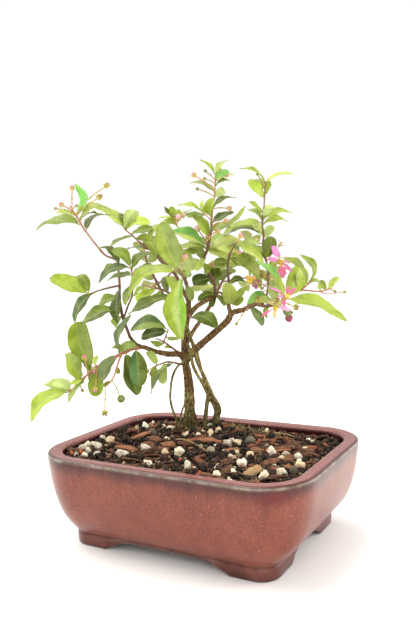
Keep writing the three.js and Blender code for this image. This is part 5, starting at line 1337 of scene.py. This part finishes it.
def chip_form(rng, length, width, thick):
    """A splintered flake: a bent plate with torn ends."""
    along = np.linspace(-0.5, 0.5, CHIP_ROWS)[:, None]
    side = np.linspace(-0.5, 0.5, CHIP_COLUMNS)[None, :]
    shift = rng.uniform(0, 50)
    torn = [
        np.array([noise.noise(Vector((j * 0.9 + shift, end * 9.0, 0))) for j in range(CHIP_COLUMNS)])
        for end in range(2)
    ]
    reach = 1 + 0.45 * np.where(along < 0, torn[0], torn[1]) * np.abs(along) * 2
    narrow = 1 - 0.35 * (2 * along) ** 2 + 0.12 * np.sin(along * 17 + shift)
    grain = [[noise.noise(Vector((a * 3 + shift, b * 14, 4))) for b in side[0]] for a in along[:, 0]]
    x = along * length * reach
    y = side * width * narrow
    z = length * 0.05 * np.cos(along * 3.0) + thick * 0.5 * np.array(grain)
    middle = np.stack([x, y, z], -1)
    half = 0.5 * thick * (1 - 0.5 * (2 * np.abs(side)) ** 4 + 0 * along)
    lift = np.stack([0 * half, 0 * half, half], -1)
    return plate(middle + lift, middle - lift)


def add_chips(name, rows, tones, material, rng):
    """Bark or wood chips, one for each row (x, y, length, turn), or (x, y, length, turn, tip, roll)."""
    chips = Shape()
    for x, y, length, heading, *lie in rows:
        width = length * rng.uniform(0.35, 0.6)
        points, faces = chip_form(rng, length, width, rng.uniform(1.2, 2.2))
        tip = math.radians(rng.uniform(-22, 22))
        roll = math.radians(rng.uniform(5, 38)) * rng.choice((-1, 1))
        if lie:
            tip, roll = math.radians(lie[0]), math.radians(lie[1])
        turn = Matrix.Rotation(FRONT_AZIMUTH + math.radians(heading), 3, "Z")
        turn = turn @ Matrix.Rotation(tip, 3, "Y") @ Matrix.Rotation(roll, 3, "X")
        height = soil_height(x, y) + 0.8 + 0.16 * width * abs(math.sin(roll))
        points = points @ np.array(turn).T + [x, y, height]
        chips.add((points, faces), np.clip(np.array(rng.choice(tones)) * rng.uniform(0.8, 1.15), 0, 255))
    chips.make(name, material, "soil", "soil")


def add_roots(material, rng):
    """Dry roots and fine fibres that lie on the soil."""
    fibres = Shape()
    for path in DRY_ROOTS:
        dense = catmull([[x, y, soil_height(x, y) + lift] for x, y, lift in path], 8)
        fibres.add(tube(dense, np.linspace(0.55, 0.3, len(dense)), 6), (196, 162, 112))
    for _ in range(FIBRES):
        x, y = rng.uniform(-85, 85), rng.uniform(-60, 60)
        if not inside_pot(x, y, 8):
            continue
        heading = rng.uniform(0, 2 * math.pi)
        steps = [np.array([x, y, soil_height(x, y) + 1.0])]
        for _ in range(5):
            heading += rng.uniform(-0.7, 0.7)
            spot = steps[-1] + [
                FIBRE_STEP * math.cos(heading), FIBRE_STEP * math.sin(heading), rng.uniform(-0.5, 0.7),
            ]
            spot[2] = max(spot[2], soil_height(spot[0], spot[1]) + 0.3)
            steps.append(spot)
        if all(inside_pot(p[0], p[1], 3) for p in steps):
            fibres.add(tube(catmull(steps, 3), np.linspace(0.28, 0.14, 16), 4), rng.choice(FIBRE_TONES))
    fibres.make("soil_fibres", material, "soil", "soil")


def add_moss(material, rng):
    """Short moss: thin curved blades in tufts at the back of the soil and round the foot of the trunk."""
    moss = Shape()
    for middle_x, middle_y, spread, count, tall in MOSS_TUFTS:
        for _ in range(count):
            x, y = rng.gauss(middle_x, spread), rng.gauss(middle_y, spread * 0.6)
            if not inside_pot(x, y, 2):
                continue
            foot = np.array([x, y, soil_height(x, y) - 0.4])
            lean = np.array([rng.uniform(-1, 1), rng.uniform(-1, 1), rng.uniform(0.5, 1.4)])
            size = tall * rng.uniform(0.6, 1.3)
            bend = np.array([rng.uniform(-0.5, 0.5), rng.uniform(-0.5, 0.5), 0])
            path = np.array([foot, foot + unit(lean) * size * 0.6, foot + unit(lean + bend) * size])
            moss.add(tube(path, [0.3, 0.24, 0.08], 3), rng.choice(MOSS_TONES))
    moss.make("soil_moss", material, "soil", "soil")


# Wood


def place(row):
    """A point seen at (across, up) in the front view and moved toward the viewer."""
    across, up, toward = row
    flat = TRUNK_FOOT + ACROSS * across + UP * up
    return flat + (VIEWER - flat) * (toward / VIEWER_TOWARD)


def branch(row, taper):
    """The path and radii of a limb."""
    first, last, rows = row
    path = catmull([place(r) for r in rows], 8)
    share = np.linspace(0, 1, len(path)) ** taper
    return path, first + (last - first) * share


def add_wood(material, ends):
    """Trunk, limbs and aerial roots, melted into one skin and then ridged."""
    wood = Shape()
    spots, sizes, rooty = [], [], []
    for name, row in {**LIMBS, **ROOTS}.items():
        path, radii = branch(row, TRUNK_TAPER if name == "trunk" else 1.0)
        ends[name] = (path[-1], unit(path[-1] - path[-2]))
        if name == "trunk":
            above = ((path[:, 2] - TRUNK_FLARE["height"]) / TRUNK_FLARE["reach"]).clip(0)
            radii = radii + TRUNK_FLARE["size"] * np.exp(-(above**1.5))
        knots = 1 + 0.1 * np.array([noise.noise(Vector(p) * 0.22) for p in path])
        wood.add(tube(path, radii * knots, WOOD_SIDES))
        spots += list(path)
        sizes += list(radii)
        rooty += [name in ROOTS] * len(radii)
    piece = wood.make("wood_skin", material, "bark", "wood")
    melt = piece.modifiers.new("melt", "REMESH")
    melt.mode = "VOXEL"
    melt.voxel_size = WOOD_VOXEL * MM
    soften = piece.modifiers.new("soften", "SMOOTH")
    soften.iterations = 4
    apply_modifiers(piece)
    ridge_bark(piece.data, spots, sizes, rooty)


def ridge_bark(mesh, spots, sizes, rooty):
    """Moves the skin in and out as bark does, and marks how old and how mossy it is."""
    tree = kdtree.KDTree(len(spots))
    for index, spot in enumerate(spots):
        tree.insert(Vector(spot), index)
    tree.balance()
    points = np.array([v.co[:] for v in mesh.vertices]) / MM - POT_CENTRE
    normals = np.array([v.normal[:] for v in mesh.vertices])
    age, moss, root, moved = [], [], [], []
    for point in points:
        nearest = tree.find(Vector(point))[1]
        radius = sizes[nearest]
        old = max(clamp((radius - 0.8) / 1.0), clamp((OLD_BELOW - point[2]) / 20))
        ridge = noise.fractal(Vector((point[0] * 0.9, point[1] * 0.9, point[2] * 0.22)), 0.8, 2.0, 4)
        knob = noise.noise(Vector(point) * 0.8)
        moved.append((RIDGE_DEPTH * ridge + KNOB_DEPTH * knob) * min(radius, 5) * (0.5 + 0.5 * old))
        age.append(old)
        moss.append(clamp((MOSS_BELOW - point[2]) / 22))
        root.append(ROOT_SHARE if rooty[nearest] else 0.0)
    points += normals * np.array(moved)[:, None]
    mesh.vertices.foreach_set("co", ((points + POT_CENTRE) * MM).astype(np.float32).ravel())
    for key, values in (("age", age), ("moss", moss), ("root", root)):
        add_values(mesh, key, values)
    mesh.shade_smooth()
    mesh.update()


# Sprays


def aim(heading, lean):
    """The axis of something that heads one way in the front view and leans toward the viewer."""
    h, lean = math.radians(heading), math.radians(lean)
    level = ACROSS * math.cos(h) * math.cos(lean)
    return level + UP * math.sin(h) * math.cos(lean) + TOWARD * math.sin(lean)


def blade_normal(axis, face):
    """The way a blade's upper side faces: face is how much of it turns to the viewer."""
    seen = unit(TOWARD - axis * (TOWARD @ axis))
    across = np.cross(axis, seen)
    across = -across if across[2] < 0 else across
    share = min(abs(face), 0.98)
    return seen * math.copysign(share, face) + across * math.sqrt(1 - share * share)


def along(twig, share):
    """A point part of the way along a twig."""
    steps = np.linalg.norm(np.diff(twig, axis=0), axis=1)
    reach = np.concatenate([[0], np.cumsum(steps)])
    at = share * reach[-1]
    return np.array([np.interp(at, reach, twig[:, k]) for k in range(3)])


def leaf_outline(s, ratio):
    """Half width of a leaf along its length: a broad leaf is blunt, and a narrow one has a drawn out tip."""
    blunt = soft_step(0.26, 0.38, ratio)
    drawn = soft_step(0.26, 0.18, ratio)
    swell = np.sin(math.pi * ((s - 0.06) / 0.94).clip(0, 1) ** (0.95 + 0.35 * blunt - 0.12 * drawn)).clip(0)
    return swell ** (0.58 + 0.3 * s - blunt * (0.12 + 0.42 * s) + drawn * 0.35 * s)


def leaf_tints(tone, s, u):
    """The upper and lower colours of a blade, from the letters of its tone."""
    letters = np.array([TONES[letter] for letter in tone if letter != ">"], float)
    if ">" in tone:
        share = soft_step(0.38, 0.6, s + 0 * u)
    elif len(letters) > 1:
        share = soft_step(0.2, -0.2, u + 0 * s)
    else:
        share = 0 * (s + u)
    share = share.ravel()[:, None]
    tints = [first * (1 - share) + last * share for first, last in zip(letters[0], letters[-1])]
    if len(letters) == 3:
        band = (bell(u, 0, 0.3) + 0 * s).ravel()[:, None]
        tints = [side * (1 - band) + middle * band for side, middle in zip(tints, letters[1])]
    return tints


def edge_wave(s, u, width, phase):
    """The wavy edge of a leaf: broad waves and fine ones."""
    broad = EDGE_WAVE * width * np.sin(2 * math.pi * WAVES * s + phase + np.sign(u)) * u**2
    fine = np.sin(2 * math.pi * FINE_WAVES * s + 2 * phase + 2 * np.sign(u)) * u**4
    return broad + 0.25 * EDGE_WAVE * width * fine


def side_veins(s, u):
    """1 along the side veins of a leaf, which slant to its tip, and 0 between them."""
    pitch = (s - VEIN_SLANT * np.abs(u)) * VEIN_PAIRS
    return bell(np.abs(pitch - np.round(pitch)), 0, 0.12) * (1 - np.abs(u) ** 3) * soft_step(0.04, 0.12, s)


def add_leaf(leaves, twigs, twig, row, rng):
    share, heading, lean, length, width, face, arch, tone = row
    foot = along(twig, share)
    axis = aim(heading, lean)
    normal = blade_normal(axis, face)
    across = np.cross(normal, axis)
    s = np.linspace(BLADE_START, 1, LEAF_ROWS)[:, None]
    u = np.linspace(-1, 1, LEAF_COLUMNS)[None, :]
    half = np.maximum(0.5 * width * leaf_outline(s, abs(face) * width / length), LEAST_HALF_WIDTH)
    sway = rng.uniform(-MOST_SWAY, MOST_SWAY) * length
    drop = rng.uniform(0.0, MOST_DROP) * length
    rise = 4 * arch * length * s * (1 - s) - drop * s**3
    fold = FOLD * half * (np.sqrt(u**2 + FOLD_ROUND) - math.sqrt(FOLD_ROUND))
    wave = edge_wave(s, u, width, 2 * share + heading)
    rib = bell(u * half, 0, RIB_HALF) * (1 - 0.7 * s)
    veins = side_veins(s, u)
    height = rise + fold + wave + (-RIB_DEPTH * rib - VEIN_DEPTH * veins)
    point = foot + axis * (s * length)[..., None] + normal * height[..., None]
    point = point + across * (half * u + sway * np.sin(math.pi * s))[..., None]
    thick = BLADE_THICKNESS * (0.55 + 0.45 * (1 - u**2)) + 0.35 * rib
    shade = rng.uniform(0.93, 1.06) * (1 + 0.1 * rng.uniform(-1, 1) * (s + 0 * u).ravel()[:, None])
    tint = (np.concatenate(leaf_tints(tone, s, u)) * np.tile(shade, (2, 1))).clip(0, 255)
    vein = np.tile(np.clip(rib + 0.35 * veins, 0, 1).ravel(), 2)
    edge = np.tile((np.abs(u) ** 10 + 0 * s).ravel(), 2)
    leaves.add(plate(point, point - normal * thick[..., None]), tint, vein=vein, edge=edge)
    knee = foot + axis * 0.05 * length + normal * 0.4 * arch * length * 0.2
    stem = catmull([foot, knee, point[1, LEAF_COLUMNS // 2]], 3)
    radii = np.linspace(PETIOLE_RADIUS * 1.25, PETIOLE_RADIUS * 0.8, len(stem))
    twigs.add(tube(stem, radii, 7), PETIOLE_TONE)


def stalk_tube(rows, per_row):
    path = catmull(rows, per_row)
    return tube(path, np.linspace(*STALK_RADII, len(path)), 7)


def add_bud(buds, twig, row, rng):
    """A stalk with a bud, a spent calyx or a fruit on it."""
    share, heading, lean, length, name = row
    kind = BUDS[name]
    foot = along(twig, share)
    axis = aim(heading, lean)
    reach = max(length - kind["length"] * 0.5, kind["length"] * 0.5)
    end = foot + axis * reach
    sag = unit(UP - axis * (UP @ axis)) * 0.05 * reach
    buds.add(stalk_tube([foot, foot + axis * 0.5 * reach + sag, end], 5), kind["stalk"])
    if reach > JOINTED_STALK:
        buds.add(ball(foot + axis * reach * 0.55 + sag, (0.9, 0.75), axis, 5, 8), JOINT_TONE)
    side = unit(np.cross(axis, UP + 0.1 * ACROSS))
    base = (end, axis, side, np.cross(axis, side))
    if name == "dried":
        add_dried(buds, base, rng)
        return
    lift, radii, *lobed = kind["head"]
    tones = kind["tones"]
    tint = rng.choice(tones) if len(tones) > 1 else tones[0]
    buds.add(ball(end + axis * lift, radii, axis, *lobed), tint)
    if kind["spread"]:
        add_sepals(buds, base, kind["spread"])
    if name == "calyx":
        add_spent(buds, base, rng)


def stamens(rng, count, loose, base, rise, spread, wide=1.0):
    """A ring of stamens: the way that each goes out, and the place of its tip."""
    end, axis, side, other = base
    for k in range(count):
        out = way_round(side, other, 2 * math.pi * k / count + rng.uniform(-loose, loose))
        yield out, end + axis * rng.uniform(*rise) + out * wide * rng.uniform(*spread)


def add_dried(buds, base, rng):
    """Long dry stamens left at the end of a stalk."""
    end, axis = base[:2]
    for out, tip in stamens(rng, 6, 0.4, base, (4.0, 7.0), (1.0, 3.6)):
        bend = end + axis * 2.6 + out * 0.5
        buds.add(tube(catmull([end, bend, tip], 4), np.linspace(0.26, 0.2, 9), 5), (196, 156, 66))
        buds.add(ball(tip, (0.6, 0.42), axis + out, 5, 6), (176, 116, 52))


def add_spent(buds, base, rng):
    """The short stamens that stay in a calyx after its flower."""
    end, axis = base[:2]
    for out, tip in stamens(rng, 9, 0.2, base, (2.6, 4.0), (0.6, 2.2)):
        bend = (end + tip) / 2 + axis * 0.6
        buds.add(tube(np.array([end + axis, bend, tip]), [0.22, 0.2, 0.18], 5), (190, 150, 60))
        buds.add(ball(tip, (0.5, 0.4), out, 4, 6), (150, 104, 44))


def add_sepals(buds, base, spread):
    """Sepals, each with its pair of glands."""
    end, axis, side, other = base
    for k in range(SEPALS):
        angle = 2 * math.pi * k / SEPALS + 0.3
        out = way_round(side, other, angle)
        spot = end + out * spread * 0.72 + axis * 1.3
        buds.add(ball(spot, (1.5, 0.62), axis + 0.45 * out, 6, 7), SEPAL_TONE)
        for turn in (-GLAND_TURN, GLAND_TURN):
            edge = way_round(side, other, angle + turn)
            spot = end + edge * spread * 0.86 + axis * 0.5
            buds.add(ball(spot, (0.85, 0.55), axis + 0.3 * edge, 5, 6), GLAND_TONE)


def add_spray(name, row, looks, ends, rng):
    """Twigs, leaves and buds of one spray. Gives the paths of its twigs."""
    start, direction = ends[row["from"]]
    leaves, twigs, buds = Shape(), Shape(), Shape()
    paths = []
    for index, (first, last, rows) in enumerate(row["twigs"]):
        points = [place(r) for r in rows]
        if index == 0:
            points.insert(0, start - direction * SPRAY_OVERLAP)
        path = catmull(points, 6)
        radii = np.linspace(first, last, len(path))
        ends[f"{name}.{index}"] = (path[-1], unit(path[-1] - path[-2]))
        paths.append(path)
        bulge = np.zeros(len(path))
        reach = np.linspace(0, 1, len(path))
        for leaf in row["leaves"]:
            if leaf[0] == index:
                bulge += NODE_SWELL * bell(reach, leaf[1], 0.025)
        form = tube(path, radii * (1 + bulge.clip(0, 0.5)), TWIG_SIDES)
        twigs.add(form, twig_tints(radii, *TWIG_TONES.get(name, USUAL_TWIG)))
    for index, *leaf in row["leaves"]:
        add_leaf(leaves, twigs, paths[index], leaf, rng)
    for index, *bud in row["buds"]:
        add_bud(buds, paths[index], bud, rng)
    node = "spray_" + name
    leaves.make("leaves_" + name, looks["leaf"], "foliage", node)
    twigs.make("twigs_" + name, looks["twig"], "bark", node)
    if row["buds"]:
        buds.make("buds_" + name, looks["bud"], "foliage", node)
    return paths


def twig_tints(radii, old, young):
    """The tint of each point of a twig's tube: one tone where it is thick, another where it is young."""
    share = 1 - soft_step(0.5, 1.0, radii)
    tints = np.array(old, float) * (1 - share[:, None]) + np.array(young, float) * share[:, None]
    tints = np.concatenate([tints[:1], tints, tints[-1:]])
    return np.concatenate([np.repeat(tints, TWIG_SIDES, axis=0), tints[:1], tints[-1:]])


# Blooms


def petal_form(foot, axis, normal, length, width, phase):
    """A petal with a narrow claw, whose limb is ragged and crinkled. Also its veins and its reach."""
    across = np.cross(normal, axis)
    s = np.linspace(0, 1, PETAL_ROWS)[:, None]
    u = np.linspace(-1, 1, PETAL_COLUMNS)[None, :]
    limb = np.sin(math.pi * ((s - 0.24) / 0.76).clip(0, 1) ** 0.9).clip(0) ** 0.62
    fine_rags = 0.07 * np.sin(31 * s + 2.3 * phase + np.sign(u))
    ragged = 1 + 0.14 * np.sin(13 * s + phase + 1.7 * np.sign(u)) + fine_rags
    claw = CLAW_HALF * (1.2 - 0.5 * soft_step(0, 0.3, s))
    half = np.maximum(0.5 * width * limb * ragged, claw * (1 - 0.75 * soft_step(0.9, 1, s)))
    ruffle = soft_step(0.3, 0.7, s)
    height = 0.1 * length * np.sin(math.pi * s) - 0.16 * width * u**2 * ruffle
    height = height + 0.09 * width * np.sin(11 * s + phase + 2.5 * u) * u**2 * ruffle
    height = height + 0.06 * width * np.sin(10 * u + phase + 4 * s) * ruffle
    fringe = 1 + 0.05 * np.sin(9 * u + phase) * soft_step(0.7, 1.0, s)
    twist = 0.5 * math.sin(phase) * s
    point = foot + axis * (s * length * fringe)[..., None]
    point = point + normal * (height + half * u * np.sin(twist))[..., None]
    point = point + across * (half * u * np.cos(twist))[..., None]
    vein = bell(np.abs(u) * 4 % 1, 0.5, 0.2) * ruffle * (1 - s)
    reach = (s + 0 * u).ravel()
    return plate(point, point - normal * PETAL_THICKNESS), np.tile(vein.ravel(), 2), np.tile(reach, 2)


def add_bloom(name, row, looks, twigs, rng):
    """One open flower on the stalk that joins it to its spray's twig."""
    index, share = row["at"]
    foot = along(twigs[index], share)
    heart = place(row["centre"])
    front = aim(*row["facing"])
    side = unit(np.cross(front, UP))
    up = np.cross(side, front)
    petals, middle = Shape(), Shape()
    for number, (heading, lean, length, width, face, tone) in enumerate(row["petals"]):
        axis = aim(heading, lean)
        limb, claw = (np.array(colour, float) * rng.uniform(0.96, 1.03) for colour in PETAL_TONES[tone])
        normal = blade_normal(axis, face)
        phase = number * 1.9 + heading
        form, vein, reach = petal_form(heart + axis * 0.9, axis, normal, length - 0.9, width, phase)
        tint = claw + (limb - claw) * soft_step(0.15, 0.55, reach)[:, None]
        petals.add(form, tint.clip(0, 255), vein=vein)
    middle.add(stalk_tube([foot, (foot + heart) / 2 + UP * 1.0, heart - front * 1.2], 6), (204, 148, 96))
    middle.add(ball(heart, (1.2, 1.3), front, 8, 12), (206, 200, 80))
    base = (heart, front, side, up)
    for out, tip in stamens(rng, 10, 0.2, base, (1.6, 3.4), (0.6, 1.1), row["stamens"]):
        bend = (heart + tip) / 2 + front * 0.6
        middle.add(tube(catmull([heart + out * 0.6, bend, tip], 4), np.full(9, 0.2), 5), (236, 178, 84))
        middle.add(ball(tip, (0.8, 0.5), out, 5, 7), (244, 206, 50))
    add_sepals(middle, (heart - front * 1.6, front, side, up), BUDS["bud"]["spread"])
    petals.make("petals_" + name, looks["petal"], "petals", "bloom_" + name)
    middle.make("heart_" + name, looks["bud"], "petals", "bloom_" + name)


# Light and floor


def add_stage():
    mesh = bpy.data.meshes.new("floor")
    corners = [(x * FLOOR_HALF, y * FLOOR_HALF, 0) for x, y in ((-1, -1), (1, -1), (1, 1), (-1, 1))]
    mesh.from_pydata(corners, [], [(0, 1, 2, 3)])
    floor = add_object("floor", mesh)
    look = Look("pale_floor", Roughness=0.6, Specular_IOR_Level=0.2)
    cloud = look.range(look.noise(6, 2), 0.3, 0.7)
    look.wire("Base Color", look.mix(cloud, (250, 249, 246), (253, 253, 252)))
    mesh.materials.append(look.material)


def lamp_turn(direction):
    """The turn of a lamp that shines from a direction."""
    return Vector(direction).to_track_quat("Z", "Y").to_matrix().to_4x4()


def add_key():
    """The main light, from across, toward and up as the camera sees them."""
    data = bpy.data.lights.new("key", "SUN")
    data.energy = KEY["strength"]
    data.angle = math.radians(KEY["spread"])
    data.color = KEY["colour"]
    across, toward, up = KEY["from"]
    add_object("key", data).matrix_world = lamp_turn(ACROSS * across + TOWARD * toward + UP * up)


def add_panel(name, place_mm, energy, size, colour):
    data = bpy.data.lights.new(name, "AREA")
    data.energy = energy
    data.size = size
    data.color = colour
    spot = Vector((np.array(place_mm) + POT_CENTRE) * MM)
    target = Vector((UP * LIT_HEIGHT + POT_CENTRE) * MM)
    add_object(name, data).matrix_world = Matrix.Translation(spot) @ lamp_turn(spot - target)


def add_lights():
    scene = bpy.context.scene
    scene.world = bpy.data.worlds.new("studio")
    scene.world.use_nodes = True
    tree = scene.world.node_tree
    sky = tree.nodes["Background"]
    sky.inputs["Color"].default_value = (1.0, 0.995, 0.985, 1)
    seen = tree.nodes.new("ShaderNodeLightPath").outputs["Is Camera Ray"]
    level = tree.nodes.new("ShaderNodeMapRange")
    level.inputs["To Min"].default_value = SKY_LIGHT
    level.inputs["To Max"].default_value = SKY_SEEN
    tree.links.new(seen, level.inputs["Value"])
    tree.links.new(level.outputs["Result"], sky.inputs["Strength"])
    for panel in PANELS:
        add_panel(*panel)
    add_key()
    scene.view_settings.view_transform = "Standard"
    scene.view_settings.look = "None"


# The scene, built in order


def add_plant(rng):
    looks = {
        "leaf": leaf_look(),
        "twig": twig_look(),
        "bud": speckled_look("bud_skin", 0.5, 0.25),
        "petal": petal_look(),
    }
    ends, twigs = {}, {}
    add_wood(bark_look(), ends)
    for name, row in SPRAYS.items():
        twigs[name] = add_spray(name, row, looks, ends, rng)
    for name, row in BLOOMS.items():
        add_bloom(name, row, looks, twigs[row["from"]], rng)


def add_soil(rng):
    earth = speckled_look("damp_earth", 0.9, 0.14, 900, 0.0006, 0.15)
    grit = speckled_look("grit", 0.85, 0.2, 1300, 0.0002, 0.2)
    pumice = speckled_look("pumice", 0.9, 0.5, 700, 0.0009, 0.2)
    chips = chip_look()
    add_soil_bed(earth)
    scatter = Scatter()
    for x, y, size in PUMICE + GREY_STONES + DARK_STONES + LAVA:
        scatter.take(x, y, size / 2)
    for x, y, length, *_ in BARK_CHIPS + WOOD_CHIPS:
        scatter.take(x, y, length * CHIP_REACH)
    scatter.take(TRUNK_FOOT[0], TRUNK_FOOT[1], TRUNK_CLEAR)
    rough = stone_kinds(rng, 9, 3, 0.45)
    grains = stone_kinds(rng, 8, 2, 0.3)

    def add_kind(name, rows, count, sizes, kinds, tones, material):
        """The stones of a kind that can be told apart, and up to count more."""
        shown = [(x, y, size / 2) for x, y, size in rows]
        more = scatter.spots(rng, count, sizes, 1)
        add_stones(name, shown + more, kinds, tones, material, rng)

    add_kind("soil_pumice", PUMICE, 30, (1.2, 2.8), rough, PUMICE_TONES, pumice)
    add_kind("soil_stones", GREY_STONES, 5, (1.8, 3.0), grains, STONE_TONES, grit)
    add_kind("soil_lava", LAVA, 26, (0.9, 1.8), grains, LAVA_TONES, grit)
    spots = scatter.spots(rng, 90, (1.6, 3.6), 2)
    more = [(x, y, radius * 4, rng.uniform(-60, 60)) for x, y, radius in spots]
    add_chips("soil_bark", BARK_CHIPS + more, BARK_TONES, chips, rng)
    add_chips("soil_wood_chips", WOOD_CHIPS, [(220, 180, 128)], chips, rng)
    add_kind("soil_lumps", DARK_STONES, 330, (1.5, 3.4), grains, LUMP_TONES, earth)
    fine = scatter.spots(rng, 1500, (0.8, 1.7), 0.5)
    add_stones("soil_grit", fine, stone_kinds(rng, 8, 1, 0.3), GRIT_TONES, grit, rng, 0.7, 0.3, smooth=False)
    add_roots(twig_look(), rng)
    add_moss(speckled_look("dry_moss", 0.9, 0.2), rng)


rng = random.Random(11)
add_camera()
add_stage()
add_lights()
add_pot(glaze_look())
add_plant(rng)
add_soil(rng)
